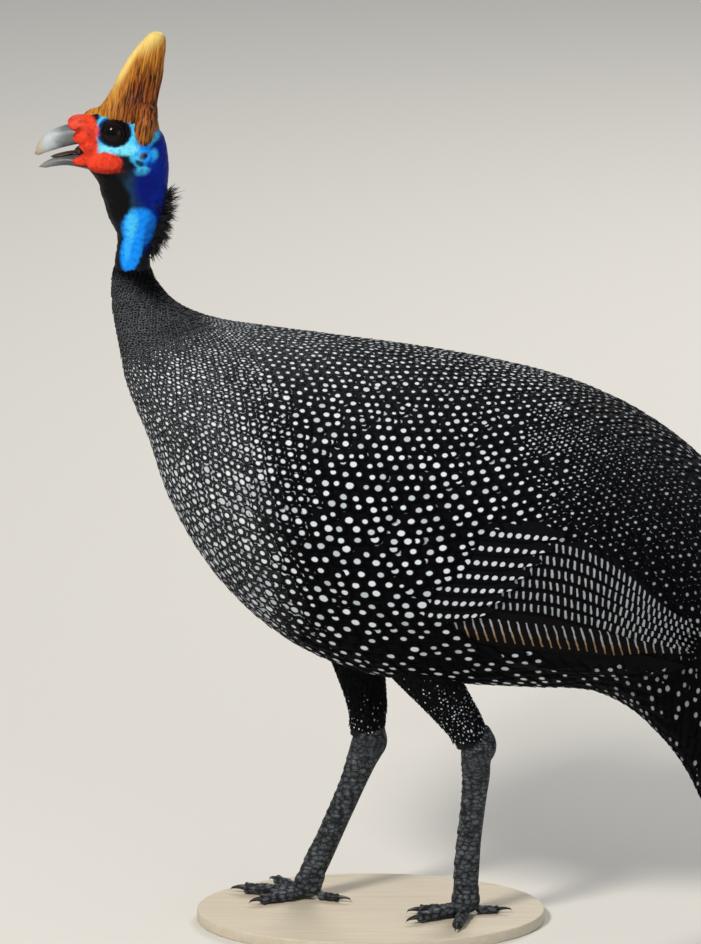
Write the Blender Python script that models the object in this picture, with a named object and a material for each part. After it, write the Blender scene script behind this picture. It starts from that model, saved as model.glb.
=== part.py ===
"""A life-size helmeted guineafowl, walking with its bill a little open, on a plain base.

The bird faces -X, with its left side towards -Y and +Z up. Lengths are in millimetres until
a mesh is placed, and a mesh is in metres. The middle of the bird is the plane Y = 0, and its
soles are at Z = 0 until the last step, which stands the base on the origin.
"""

import math
import random
from collections import namedtuple

import bmesh
import bpy
from mathutils import Matrix, Vector

MM = 0.001
GAP = 0.3                      # between neighbouring solids
SLIVER = 0.01                  # thinner faces than this are closed up after a cut
LEFT, RIGHT = -1, 1            # the sides of the bird, as signs of Y
SIDES = {LEFT: "left", RIGHT: "right"}

# A cut through head, neck or body: its point on the nape or back, its point on the throat or
# belly, and the half width between them.
Station = namedtuple("Station", "place back front half_width")
SPINE = [
    Station("bill root", (-160.5, 408.0), (-158.0, 388.0), 7.5),
    Station("lores", (-155.0, 411.5), (-156.8, 385.6), 10.5),
    Station("brow", (-147.0, 412.3), (-154.9, 383.5), 13.2),
    Station("eye", (-135.5, 411.8), (-153.0, 381.2), 14.9),
    Station("crown", (-124.5, 407.5), (-151.1, 378.6), 15.1),
    Station("ear", (-117.5, 400.0), (-149.4, 375.5), 14.6),
    Station("jaw", (-115.2, 390.0), (-148.6, 371.0), 13.8),
    Station("head root", (-114.9, 380.0), (-146.9, 366.3), 12.8),
    Station("upper neck", (-116.6, 366.0), (-144.6, 358.3), 11.4),
    Station("throat", (-120.5, 352.0), (-140.6, 349.5), 9.8),
    Station("neck waist", (-124.3, 338.0), (-141.6, 338.0), 9.2),
    Station("ruff", (-120.3, 325.0), (-143.9, 326.0), 11.0),
    Station("neck root", (-108.4, 312.5), (-143.4, 311.0), 16.0),
    Station("shoulder", (-88.0, 304.4), (-140.5, 294.8), 24.5),
    Station("crop", (-61.8, 300.2), (-136.3, 273.5), 34.0),
    Station("breast", (-33.5, 296.3), (-125.9, 246.7), 44.0),
    Station("wing root", (-5.0, 292.5), (-114.3, 212.8), 53.0),
    Station("keel", (22.5, 288.3), (-92.3, 176.3), 60.5),
    Station("back", (50.5, 283.0), (-60.3, 145.8), 65.5),
    Station("flank", (78.0, 276.0), (-19.5, 126.8), 68.0),
    Station("loin", (103.3, 266.2), (27.0, 121.5), 67.5),
    Station("hip", (127.8, 252.6), (65.0, 119.2), 63.5),
    Station("rump", (152.0, 233.0), (94.0, 117.2), 56.0),
    Station("vent", (172.0, 208.0), (114.0, 107.5), 46.5),
    Station("tail root", (186.6, 180.0), (128.0, 94.5), 37.0),
    Station("tail cover", (195.0, 151.0), (138.0, 82.5), 30.0),
    Station("tail middle", (197.0, 121.0), (146.0, 69.5), 24.5),
    Station("tail end", (194.0, 91.0), (152.0, 56.5), 18.5),
    Station("tail tip", (185.5, 63.0), (158.5, 43.5), 13.5),
    Station("tail point", (177.5, 33.0), (161.0, 27.0), 12.5),
]
AT = {station.place: index for index, station in enumerate(SPINE)}
SQUARENESS = 2.25              # of a section, where 2 is an ellipse
BELLY_FULLNESS = 0.05          # how much wider a body section is low down
BODY_AROUND, NECK_AROUND, HEAD_AROUND = 24, 18, 22

EYE_CENTRE = (-141.4, 403.3)
EYE_RADIUS, EYE_OUT = 6.8, 9.0
EYE_LOOK = Vector((-0.24, 0.96, 0.12))  # the way the right eye faces
LID_RADIUS, LID_THICKNESS, LID_OUT = 5.9, 1.25, 4.6
EAR_AT, EAR_RADIUS = (-126.0, 392.2), 2.5

# The casque's cuts from its base to its point: front, back, half width.
CASQUE = [
    ((-156.4, 406.6), (-119.5, 400.5), 12.7),
    ((-152.5, 412.6), (-120.2, 409.5), 10.8),
    ((-146.6, 417.3), (-120.6, 414.8), 8.2),
    ((-142.9, 423.6), (-119.6, 421.5), 6.2),
    ((-139.2, 431.0), (-117.9, 429.5), 5.3),
    ((-135.2, 438.2), (-116.7, 437.5), 4.5),
    ((-130.0, 445.4), (-115.7, 444.6), 3.9),
    ((-125.6, 450.1), (-115.9, 449.8), 3.0),
]
CASQUE_TIP = (-120.3, 452.6)
CASQUE_LOBE = ((-128.6, 404.6), 11.0, (5.6, 4.4, 8.6))
CASQUE_KNOB = ((-152.4, 411.3), (4.6, 4.6, 3.4))

# Lobes of bare red skin on the bird's right: place in side view, distance out, half sizes.
CERE_LOBES = [((-158.6, 406.3), 3.6, (6.2, 4.0, 3.5)), ((-155.8, 400.9), 8.0, (6.2, 3.4, 4.2))]
NOSTRIL = ((-161.0, 403.9), 8.2, (3.4, 2.2, 0.9), 28.0)
WATTLE_LOBES = [((-145.5, 389.2), 14.4, (9.6, 2.7, 5.3)), ((-152.4, 390.8), 11.8, (4.6, 2.4, 3.2))]

# Locks of the nape: where they stand on the upper neck, how long and how wide they are.
LOCK_COUNT, LOCK_LENGTH, LOCK_RADIUS, LOCK_SPREAD = 17, 12.0, 1.4, 0.7

# Cuts through the mandibles from root to tip: top, bottom, half width.
UPPER_BILL = [
    ((-156.5, 407.0), (-156.5, 396.2), 7.2),
    ((-161.0, 406.2), (-161.3, 396.0), 6.3),
    ((-166.2, 405.1), (-167.0, 396.6), 5.0),
    ((-171.0, 403.7), (-172.3, 395.6), 3.7),
    ((-175.5, 400.9), (-176.6, 394.0), 2.5),
    ((-178.9, 396.8), (-179.9, 392.2), 1.4),
]
UPPER_BILL_TIP = (-181.4, 390.6)
LOWER_BILL = [
    ((-155.0, 390.6), (-155.0, 383.0), 6.6),
    ((-160.5, 390.4), (-160.0, 384.2), 5.6),
    ((-166.0, 390.2), (-165.5, 384.9), 4.3),
    ((-171.3, 388.9), (-171.0, 384.4), 3.0),
    ((-176.0, 386.6), (-175.8, 383.5), 1.7),
]
LOWER_BILL_TIP = (-179.4, 383.9)

# The folded wing's upper and lower edges in side view, from shoulder to tip.
WING_TOP = [(-82.0, 256.0), (-40.0, 272.0), (8.0, 266.0), (55.0, 247.0), (100.0, 221.0),
            (138.0, 190.0), (160.0, 160.0)]
WING_LOW = [(-84.0, 246.0), (-62.0, 206.0), (-20.0, 176.0), (32.0, 153.0), (80.0, 138.5),
            (125.0, 134.0), (158.0, 146.0)]
WING_THICKNESS, WING_EDGE = 5.0, 1.2
VANE_THICKNESS = 0.9
# A tier of wing feathers: how many, root and tip along the wing, lowest and highest across
# it, how far the top feather's tip stays behind, half width, rise of the tips.
Tier = namedtuple("Tier", "count root tip low high lag half_width rise")
WING_TIERS = [
    Tier(5, 0.46, 1.02, 0.08, 0.60, 0.05, 8.2, 1.0),
    Tier(2, 0.52, 0.93, 0.74, 0.91, 0.03, 10.0, 1.2),
    Tier(3, 0.32, 0.56, 0.20, 0.80, -0.02, 16.0, 1.7),
    Tier(3, 0.18, 0.41, 0.20, 0.80, -0.02, 16.0, 1.7),
    Tier(2, 0.03, 0.26, 0.30, 0.70, 0.0, 21.0, 1.6),
]
WING_DEPTH = 100.0             # where it is deepest; its feathers narrow in step with it

# A tier of tail feathers: how many, root and tip as places of the spine, the angle from the
# back of its first and last feather, how much shorter the outer ones are, half width.
TailTier = namedtuple("TailTier", "count root tip first last lag half_width rise")
TAIL_TIERS = [
    TailTier(10, "tail cover", "tail point", 8, 156, 0.35, 7.4, 0.8),
    TailTier(4, "tail root", "tail end", 24, 88, 0.5, 12.0, 1.8),
    TailTier(2, "tail root", "tail middle", 150, 160, 0.3, 10.0, 1.4),
]

# Legs: path points with the half depth along the stride and the half width across it.
Cut = namedtuple("Cut", "x y z depth width")
THIGH = {
    LEFT: [Cut(-6, 31, 158, 18, 14), Cut(6, 30.5, 141, 15.5, 13), Cut(18.4, 28, 123.7, 12.9, 11.5),
           Cut(26.5, 25, 111.5, 11, 9.8), Cut(33, 22.8, 101, 9.6, 8.4), Cut(35.8, 21.5, 91.5, 8.4, 7.2)],
    RIGHT: [Cut(-32, 30, 160, 15, 14), Cut(-27.5, 29, 145, 14.4, 13), Cut(-22, 27, 126, 13.4, 11.5),
            Cut(-17.5, 23.5, 107, 11, 9.6), Cut(-16, 21, 95, 9.6, 8.4), Cut(-17.4, 19.4, 84, 8.6, 7.2)],
}
TARSUS = {
    LEFT: [Cut(39.6, 21.6, 101, 4.4, 4), Cut(40.0, 21.4, 96.5, 6.8, 5.6), Cut(38.8, 21, 89, 8, 6.3),
           Cut(38.2, 20.5, 82, 7.4, 5.6), Cut(38.3, 19.6, 74.8, 7, 5.1), Cut(37.5, 18.5, 65, 6.4, 4.7),
           Cut(36.7, 17.4, 56.5, 6.2, 4.5), Cut(34.8, 15.8, 38.6, 6.2, 4.5),
           Cut(33.6, 14.2, 20.5, 6.4, 4.8), Cut(33.4, 13.6, 12.5, 7, 5.8)],
    RIGHT: [Cut(-13.4, 19, 92, 4.4, 4), Cut(-13.8, 19, 87.5, 7, 5.6), Cut(-15.8, 18.6, 80, 8.6, 6.4),
            Cut(-19.2, 18, 71.5, 7.6, 5.6), Cut(-23.2, 17.2, 61, 6.6, 4.9), Cut(-27.4, 16.3, 51, 6.3, 4.6),
            Cut(-31.8, 15.5, 41, 6.2, 4.5), Cut(-36.8, 14.8, 29.5, 6.2, 4.5),
            Cut(-42, 14, 18.5, 6.5, 4.8), Cut(-44.8, 13.6, 12, 7, 5.8)],
}
SHANK_SCUTES, SCUTE_RISE = 10, 0.55
SCUTES_FROM, SCUTES_TO = 3.2, 8.8       # cuts of the tarsus
LEG_AROUND, TOE_AROUND = 12, 8
FOOT_AT = {LEFT: (33.4, 13.2), RIGHT: (-46.2, 13.4)}
FOOT_TURN = {LEFT: 35.0, RIGHT: 15.0}   # outwards
# Each toe's bearing away from straight ahead and outwards, its length, radius, plates, claw.
Toe = namedtuple("Toe", "name bearing length radius scutes claw")
TOES = {
    LEFT: [Toe("inner", 3, 21.0, 3.3, 6, 8.0), Toe("middle", 31, 25.5, 3.6, 7, 9.0),
           Toe("outer", 80, 24.0, 3.3, 6, 8.0), Toe("hind", 184, 14.5, 2.5, 4, 8.0)],
    RIGHT: [Toe("inner", -24, 24.0, 3.3, 6, 8.0), Toe("middle", 14, 31.0, 3.6, 8, 9.0),
            Toe("outer", 54, 25.0, 3.3, 6, 8.0), Toe("hind", 202, 14.5, 2.5, 4, 8.0)],
}
TOE_START, HIND_START = 5.0, 9.0       # heights inside the foot
TOE_SIT = 0.72                         # height of a toe's middle, as a share of its radius

# The oval base under both feet: its middle, half length and half width, thickness.
BASE_AT, BASE_HALF, BASE_THICKNESS = (-14.5, -2.3), (88.0, 58.0), 6.0
BASE_AROUND = 48


def clear_scene():
    """Start from an empty file."""
    for old in list(bpy.data.objects):
        bpy.data.objects.remove(old)


def finish_of(name, colour, roughness):
    """A plain Principled finish."""
    made = bpy.data.materials.new(name)
    made.use_nodes = True
    shader = made.node_tree.nodes["Principled BSDF"]
    shader.inputs["Base Color"].default_value = (*colour, 1.0)
    shader.inputs["Roughness"].default_value = roughness
    made.diffuse_color = (*colour, 1.0)
    return made


def mix(a, b, share):
    """A value share of the way from a to b."""
    return a + (b - a) * share


def spread(low, high, count):
    """Evenly spaced values, both ends included."""
    return [mix(low, high, i / (count - 1)) for i in range(count)]


def rounded(t, keys):
    """A smooth curve through evenly spaced keys, read at t, where 1 is the second key."""
    last = len(keys) - 1
    t = min(max(t, 0.0), float(last))
    i = min(int(t), last - 1)
    f = t - i
    before, a, b, after = (keys[min(max(i + k, 0), last)] for k in (-1, 0, 1, 2))
    return a + 0.5 * f * (b - before + f * (2 * before - 5 * a + 4 * b - after
                                            + f * (3 * (a - b) + after - before)))


def upright(point, y=0.0):
    """A point of the side view, at a distance from the bird's middle."""
    return Vector((point[0], y, point[1]))


BACKS = [upright(station.back) for station in SPINE]
FRONTS = [upright(station.front) for station in SPINE]
HALF_WIDTHS = [station.half_width for station in SPINE]


def signed_power(value, exponent):
    """A power that keeps its sign."""
    return math.copysign(abs(value) ** exponent, value)


def skin(t, angle, out=0.0):
    """A point of the bird's surface: angle 0 is the back and 180 degrees the belly."""
    back, front = rounded(t, BACKS), rounded(t, FRONTS)
    centre, reach = (back + front) / 2, (back - front) / 2
    fullness = BELLY_FULLNESS * min(max(t - AT["neck root"], 0.0), 1.0)
    wide = rounded(t, HALF_WIDTHS) * (1 - fullness * math.cos(angle))
    up = signed_power(math.cos(angle), 2 / SQUARENESS)
    across = signed_power(math.sin(angle), 2 / SQUARENESS)
    point = centre + reach * up + Vector((0.0, wide * across, 0.0))
    return point + outward(t, angle) * out if out else point


def outward(t, angle):
    """The surface's outward direction."""
    step = 0.02
    along = skin(t + step, angle) - skin(t - step, angle)
    around = skin(t, angle + step) - skin(t, angle - step)
    normal = along.cross(around).normalized()
    centre = (rounded(t, BACKS) + rounded(t, FRONTS)) / 2
    return normal if normal.dot(skin(t, angle) - centre) > 0 else -normal


def locate(x, z, first="neck root", last="tail tip"):
    """The t and angle of the surface at a point of the side view, on the bird's right."""
    low, high = float(AT[first]), float(AT[last])
    for _ in range(28):
        t = (low + high) / 2
        back, front = rounded(t, BACKS), rounded(t, FRONTS)
        beyond = (front.x - back.x) * (z - back.z) - (front.z - back.z) * (x - back.x)
        low, high = (t, high) if beyond > 0 else (low, t)
    centre, reach = (back + front) / 2, (back - front) / 2
    up = (upright((x, z)) - centre).dot(reach) / reach.length_squared
    return t, math.acos(signed_power(min(max(up, -1.0), 1.0), SQUARENESS / 2))


def add_object(name, bm, finish, smooth_angle=40.0):
    """Make a named object of a closed shape given in millimetres."""
    bmesh.ops.recalc_face_normals(bm, faces=bm.faces)
    if bm.calc_volume(signed=True) < 0:
        bmesh.ops.reverse_faces(bm, faces=bm.faces)
    bmesh.ops.scale(bm, vec=(MM, MM, MM), verts=bm.verts)
    mesh = bpy.data.meshes.new(name)
    bm.to_mesh(mesh)
    bm.free()
    mesh.shade_smooth()
    mesh.set_sharp_from_angle(angle=math.radians(smooth_angle))
    mesh.materials.append(finish)
    made = bpy.data.objects.new(name, mesh)
    bpy.context.scene.collection.objects.link(made)
    return made


def loft(rings, first, last, around):
    """A closed shape between two end points; each ring is a function of an angle."""
    bm = bmesh.new()
    rows = len(rings) + 1
    bmesh.ops.create_uvsphere(bm, u_segments=around, v_segments=rows, radius=1.0)
    for vert in bm.verts:
        row = round(math.acos(min(max(vert.co.z, -1.0), 1.0)) / math.pi * rows)
        angle = math.atan2(vert.co.y, vert.co.x)
        if row == 0:
            vert.co = first
        elif row == rows:
            vert.co = last
        else:
            vert.co = rings[row - 1](angle)
    return bm


def oval(centre, first_axis, second_axis):
    """A ring function: an ellipse with two half axes."""
    return lambda angle: centre + first_axis * math.cos(angle) + second_axis * math.sin(angle)


def flat_ovals(cuts, count):
    """Rings through cuts that are given as two side-view points and a half width."""
    rings = []
    for t in spread(0.0, len(cuts) - 1.0, count):
        one = rounded(t, [upright(cut[0]) for cut in cuts])
        other = rounded(t, [upright(cut[1]) for cut in cuts])
        half_width = rounded(t, [cut[2] for cut in cuts])
        rings.append(oval((one + other) / 2, (one - other) / 2, Vector((0, half_width, 0))))
    return rings


def middle(cut):
    """The middle of a cut that is given as two side-view points and a half width."""
    return (upright(cut[0]) + upright(cut[1])) / 2


def ellipsoid(name, centre, radii, finish, around=12, rows=8, tilt=0.0):
    """An egg shape along the axes, tilted in side view so that its front drops."""
    bm = bmesh.new()
    bmesh.ops.create_uvsphere(bm, u_segments=around, v_segments=rows, radius=1.0)
    bmesh.ops.scale(bm, vec=radii, verts=bm.verts)
    turn = Matrix.Rotation(math.radians(-tilt), 3, "Y")
    bmesh.ops.rotate(bm, cent=(0, 0, 0), matrix=turn, verts=bm.verts)
    bmesh.ops.translate(bm, vec=centre, verts=bm.verts)
    return add_object(name, bm, finish)


def ring(name, centre, axis, radius, thickness, finish, steps=12, sides=4):
    """A closed ring round an axis."""
    bm = bmesh.new()
    axis = axis.normalized()
    first = axis.cross(Vector((0, 0, 1))).normalized()
    circle = bmesh.ops.create_circle(bm, segments=sides, radius=thickness)["verts"]
    for vert in circle:
        vert.co = centre + first * (radius + vert.co.x) + axis * vert.co.y
    edges = list({edge for vert in circle for edge in vert.link_edges})
    bmesh.ops.spin(bm, geom=circle + edges, cent=centre, axis=axis, angle=math.tau, steps=steps,
                   use_merge=True)
    return add_object(name, bm, finish)


def vane(path, half_width, tilt, finish):
    """A thin closed feather. Its path holds (point, outward, across, width share) from its root."""
    bm = bmesh.new()
    steps = len(path) - 1
    bmesh.ops.create_grid(bm, x_segments=steps, y_segments=2, size=1.0)
    for vert in bm.verts:
        share = (vert.co.x + 1) / 2
        point, out, across, narrow = path[round(share * steps)]
        wide = half_width * narrow * rounded(share * 3, [0.6, 0.95, 1.0, 0.38])
        crown = 0.16 * half_width * (1 - abs(vert.co.y))
        vert.co = point + across * vert.co.y * wide + out * (crown - tilt * vert.co.y)
    bmesh.ops.triangulate(bm, faces=bm.faces)
    if sum(face.normal.dot(path[1][1]) for face in bm.faces) < 0:
        bmesh.ops.reverse_faces(bm, faces=bm.faces)
    bmesh.ops.solidify(bm, geom=bm.faces, thickness=VANE_THICKNESS)
    return add_object("vane", bm, finish)


def trunk_piece(name, t0, t1, count, around, finish):
    """A length of the head, neck, body or tail, with flat ends."""
    rings = [lambda angle, t=t: skin(t, angle) for t in spread(t0, t1, count)]
    ends = [(rounded(t, BACKS) + rounded(t, FRONTS)) / 2 for t in (t0, t1)]
    return add_object(name, loft(rings, ends[0], ends[1], around), finish)


def bake_boolean(target, operation, operand):
    """Run one Boolean, whose operand is an object or a collection, and keep its result."""
    modifier = target.modifiers.new(operation, "BOOLEAN")
    modifier.operation = operation
    modifier.solver = "MANIFOLD"
    if isinstance(operand, bpy.types.Collection):
        modifier.operand_type = "COLLECTION"
        modifier.collection = operand
    else:
        modifier.object = operand
    bpy.context.view_layer.update()
    graph = bpy.context.evaluated_depsgraph_get()
    result = bpy.data.meshes.new_from_object(target.evaluated_get(graph))
    target.modifiers.clear()
    target.data = result


def keep_largest(target):
    """Keep only the largest closed surface of a mesh."""
    bm = bmesh.new()
    bm.from_mesh(target.data)
    bmesh.ops.triangulate(bm, faces=bm.faces)
    closed_up = bm.copy()
    bmesh.ops.dissolve_degenerate(closed_up, dist=SLIVER * MM, edges=closed_up.edges)
    if all(edge.is_manifold for edge in closed_up.edges):
        bm = closed_up
    todo, islands = set(bm.faces), []
    while todo:
        island, edge = set(), [todo.pop()]
        while edge:
            face = edge.pop()
            island.add(face)
            for near in (f for e in face.edges if len(e.link_faces) == 2 for f in e.link_faces):
                if near in todo:
                    todo.remove(near)
                    edge.append(near)
        islands.append(island)
    islands.sort(key=lambda island: sum(f.calc_area() for f in island))
    scraps = [face for island in islands[:-1] for face in island]
    bmesh.ops.delete(bm, geom=scraps, context="FACES")
    bm.to_mesh(target.data)
    bm.free()


def fuse(target, pieces):
    """Join closed pieces to the target with one union."""
    group = bpy.data.collections.new(target.name + " pieces")
    bpy.context.scene.collection.children.link(group)
    for piece in pieces:
        bpy.context.scene.collection.objects.unlink(piece)
        group.objects.link(piece)
    bake_boolean(target, "UNION", group)
    for piece in pieces:
        bpy.data.objects.remove(piece)
    bpy.data.collections.remove(group)
    keep_largest(target)


def cut_clear(target, *others):
    """Cut the target so that it keeps a gap to other solids."""
    for other in others:
        cutter = other.copy()
        cutter.data = other.data.copy()
        bm = bmesh.new()
        bm.from_mesh(cutter.data)
        bm.normal_update()
        moves = [vert.normal * GAP * MM * vert.calc_shell_factor() for vert in bm.verts]
        for vert, move in zip(bm.verts, moves):
            vert.co += move
        bm.to_mesh(cutter.data)
        bm.free()
        bpy.context.scene.collection.objects.link(cutter)
        bake_boolean(target, "DIFFERENCE", cutter)
        bpy.data.objects.remove(cutter)
    keep_largest(target)


def cut_away(target, cutter):
    """Cut a shape out of the target."""
    bake_boolean(target, "DIFFERENCE", cutter)
    bpy.data.objects.remove(cutter)
    keep_largest(target)


def wing_place(side, s, v, out=0.0):
    """A point s of the way along the wing and v of the way up it, on its outer face."""
    last = len(WING_TOP) - 1.0
    low = rounded(s * last, [upright(point) for point in WING_LOW])
    top = rounded(s * last, [upright(point) for point in WING_TOP])
    beyond = max(s - 1.0, 0.0) * (top - rounded(last - 1, [upright(point) for point in WING_TOP]))
    point = mix(low, top, v) + beyond
    t, angle = locate(point.x, point.z)
    height = mix(WING_EDGE, WING_THICKNESS, 2 * math.sqrt(v * (1 - v)))
    return skin(t, angle * side, height + out)


def wing_vane(side, root, tip, v, tier, finish):
    """One feather lying along the wing."""
    path = []
    for share in spread(0.0, 1.0, 4):
        s = mix(root, tip, share)
        point = wing_place(side, s, v, mix(-0.8, tier.rise, share))
        across = (wing_place(side, s, v + 0.01) - wing_place(side, s, v - 0.01)).normalized()
        out = (wing_place(side, s, v, 1.0) - wing_place(side, s, v)).normalized()
        deep = (wing_place(side, s, 0.98) - wing_place(side, s, 0.02)).length
        path.append((point, out, across, deep / WING_DEPTH))
    return vane(path, tier.half_width, 0.7, finish)


def make_wing(side, torso, finish):
    """One folded wing, lying on the torso, with its feathers in tiers."""
    def ring_at(s):
        def place(angle):
            v = (math.cos(angle) + 1) / 2
            if math.sin(angle) >= -0.01:
                return wing_place(side, s, v)
            return wing_place(side, s, v, -2.0 - mix(WING_EDGE, WING_THICKNESS, 2 * math.sqrt(v * (1 - v))))
        return place

    rings = [ring_at(s) for s in spread(0.0, 1.0, 9)]
    wing = add_object("wing_" + SIDES[side], loft(rings, wing_place(side, 0.0, 0.5, -4.0),
                                                  wing_place(side, 1.0, 0.5, -4.0), 12), finish)
    vanes = []
    for tier in WING_TIERS:
        for i in range(tier.count):
            share = i / (tier.count - 1)
            root = tier.root + 0.02 * math.sin(2.4 * i)
            tip = tier.tip - tier.lag * share
            vanes.append(wing_vane(side, root, tip, mix(tier.low, tier.high, share), tier, finish))
    fuse(wing, vanes)
    cut_clear(wing, torso)
    return wing


def make_tail(finish):
    """The tail, with its coverts over its flight feathers."""
    tail = trunk_piece("tail", AT["tail root"] + 0.015, AT["tail tip"], 7, 16, finish)
    vanes = []
    for tier in TAIL_TIERS:
        for i in range(tier.count // 2):
            share = i / max(tier.count // 2 - 1, 1)
            angle = math.radians(mix(tier.first, tier.last, share))
            root, tip = AT[tier.root] + 0.35, AT[tier.tip] - tier.lag * share
            for side in SIDES:
                path = []
                for part in spread(0.0, 1.0, 4):
                    t = mix(root, tip, part)
                    here = skin(t, angle * side, mix(-1.2, tier.rise, part))
                    across = (skin(t, (angle + 0.02) * side) - skin(t, (angle - 0.02) * side)).normalized()
                    path.append((here, outward(t, angle * side), across, 1.0))
                vanes.append(vane(path, tier.half_width, 0.7, finish))
    fuse(tail, vanes)
    return tail


def add_locks(neck, finish):
    """The locks that stand out from the nape."""
    chance = random.Random(7)
    locks = []
    for i in range(LOCK_COUNT):
        t = mix(AT["head root"] + 0.95, AT["neck waist"] - 0.2, i / (LOCK_COUNT - 1))
        angle = LOCK_SPREAD * (chance.random() * 2 - 1)
        out = outward(t, angle)
        upwards = (skin(t - 0.3, angle) - skin(t + 0.3, angle)).normalized()
        along = (out * 0.62 + upwards * mix(0.9, 0.35, chance.random())).normalized()
        across = along.cross(Vector((0, 1, 0))).normalized()
        length = LOCK_LENGTH * mix(0.75, 1.1, chance.random())
        root = skin(t, angle, -1.5)
        rings = [oval(root + along * length * share + out * bend, across * radius, along.cross(across) * radius)
                 for share, bend, radius in ((0.05, 0.0, LOCK_RADIUS), (0.55, 0.3, LOCK_RADIUS * 0.8))]
        tip = root + along * length
        locks.append(add_object("lock", loft(rings, root, tip, 5), finish))
    fuse(neck, locks)


def limb(name, cuts, side, count, around, finish):
    """A closed limb through cuts that run downwards."""
    places = [Vector((cut.x, cut.y * side, cut.z)) for cut in cuts]
    depths, widths = [cut.depth for cut in cuts], [cut.width for cut in cuts]
    rings, last = [], len(cuts) - 1.0
    for t in spread(0.0, last, count):
        along = (rounded(t + 0.1, places) - rounded(t - 0.1, places)).normalized()
        across = Vector((0, 1, 0))
        forward = across.cross(along).normalized()
        rings.append(oval(rounded(t, places), forward * rounded(t, depths), across * rounded(t, widths)))
    return add_object(name, loft(rings, places[0], places[-1], around), finish)


def saw(rings_each, count):
    """Places along 0 to 1 with a height each: every plate climbs to its far edge."""
    steps = []
    for i in range(count):
        steps += [((i + share) / count, height) for share, height in rings_each]
    return steps


def make_tarsus(side, finish):
    """The bare shank, with two rows of plates down its front."""
    cuts = TARSUS[side]
    places = [Vector((cut.x, cut.y * side, cut.z)) for cut in cuts]
    depths, widths = [cut.depth for cut in cuts], [cut.width for cut in cuts]
    plates = saw(((0.04, 0.0), (0.93, 1.0)), SHANK_SCUTES)
    steps = [(t, 0.0) for t in spread(0.0, SCUTES_FROM - 0.5, 5)]
    steps += [(mix(SCUTES_FROM, SCUTES_TO, share), height) for share, height in plates]
    steps += [(len(cuts) - 1.0, 0.0)]
    front = round(FOOT_TURN[side] / (360 / LEG_AROUND)) * math.tau / LEG_AROUND * side
    rings = []
    for t, height in steps:
        along = (rounded(t + 0.1, places) - rounded(t - 0.1, places)).normalized()
        forward = Vector((0, 1, 0)).cross(along).normalized()

        def place(angle, t=t, height=height, forward=forward):
            off = abs((angle - front + math.pi) % math.tau - math.pi)
            rise = SCUTE_RISE * height if 0.2 < off < 1.3 else 0.0
            return (rounded(t, places) + forward * math.cos(angle) * (rounded(t, depths) + rise)
                    + Vector((0, 1, 0)) * math.sin(angle) * (rounded(t, widths) + rise))
        rings.append(place)
    return add_object("tarsus_" + SIDES[side], loft(rings, places[0], places[-1], LEG_AROUND), finish)


def toe_direction(bearing, side):
    """The direction of a toe on the ground."""
    turn = math.radians(bearing)
    return Vector((-math.cos(turn), side * math.sin(turn), 0.0))


def make_toe(start, toe, side, finish):
    """A toe with plates above, from inside the foot to the root of its claw, flat below."""
    along = toe_direction(toe.bearing, side)
    across = Vector((-along.y, along.x, 0.0))
    rings = []
    for share, height in saw(((0.06, 0.0), (0.9, 1.0)), toe.scutes):
        radius = toe.radius * (1 - 0.24 * share + 0.06 * math.cos(share * math.pi * 6))
        centre = start + along * toe.length * share
        centre.z = mix(start.z, toe.radius * TOE_SIT, min(share * 3.2, 1.0))

        def place(angle, centre=centre, radius=radius, height=height):
            rise = 0.4 * height * max(math.cos(angle), 0.0)
            up = Vector((0, 0, 1)) * math.cos(angle)
            return centre + (up + across * math.sin(angle)) * (radius + rise)
        rings.append(place)
    tip = start + along * (toe.length + 1.0)
    tip.z = toe.radius * 0.6
    bm = loft(rings, start - along, tip, TOE_AROUND)
    for vert in bm.verts:
        vert.co.z = max(vert.co.z, 0.0)
    return add_object("toe", bm, finish)


def make_claw(name, root, along, toe, finish):
    """A curved claw whose point stays just clear of the ground."""
    across = Vector((-along.y, along.x, 0.0))
    rings = []
    for share in spread(0.0, 0.8, 4):
        centre = root + along * toe.claw * share
        centre.z = root.z + 0.9 * math.sin(share * math.pi * 0.8) - (root.z - 1.3) * share ** 1.5
        radius = mix(toe.radius * 0.5, 0.5, share)
        rings.append(oval(centre, Vector((0, 0, radius)), across * radius * 0.8))
    tip = root + along * toe.claw
    tip.z = 0.5
    return add_object(name, loft(rings, root, tip, 6), finish)


def make_foot(side, horn, claw_horn):
    """A foot with its claws."""
    x, y = FOOT_AT[side]
    heart = Vector((x, y * side, 0.0))
    foot = ellipsoid("foot_" + SIDES[side], heart + Vector((0, 0, 6.8)), (7.4, 6.4, 6.8), horn, 12, 8)
    claws, toes = [], []
    for toe in TOES[side]:
        height = HIND_START if toe.name == "hind" else TOE_START
        start = heart + toe_direction(toe.bearing, side) * 2.0 + Vector((0, 0, height))
        toes.append(make_toe(start, toe, side, horn))
        root = start + toe_direction(toe.bearing, side) * (toe.length - 1.0)
        root.z = toe.radius * TOE_SIT
        claws.append((toe, root))
    fuse(foot, toes)
    for toe, root in claws:
        name = "claw_" + toe.name + "_" + SIDES[side]
        cut_clear(make_claw(name, root, toe_direction(toe.bearing, side), toe, claw_horn), foot)
    return foot


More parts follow.
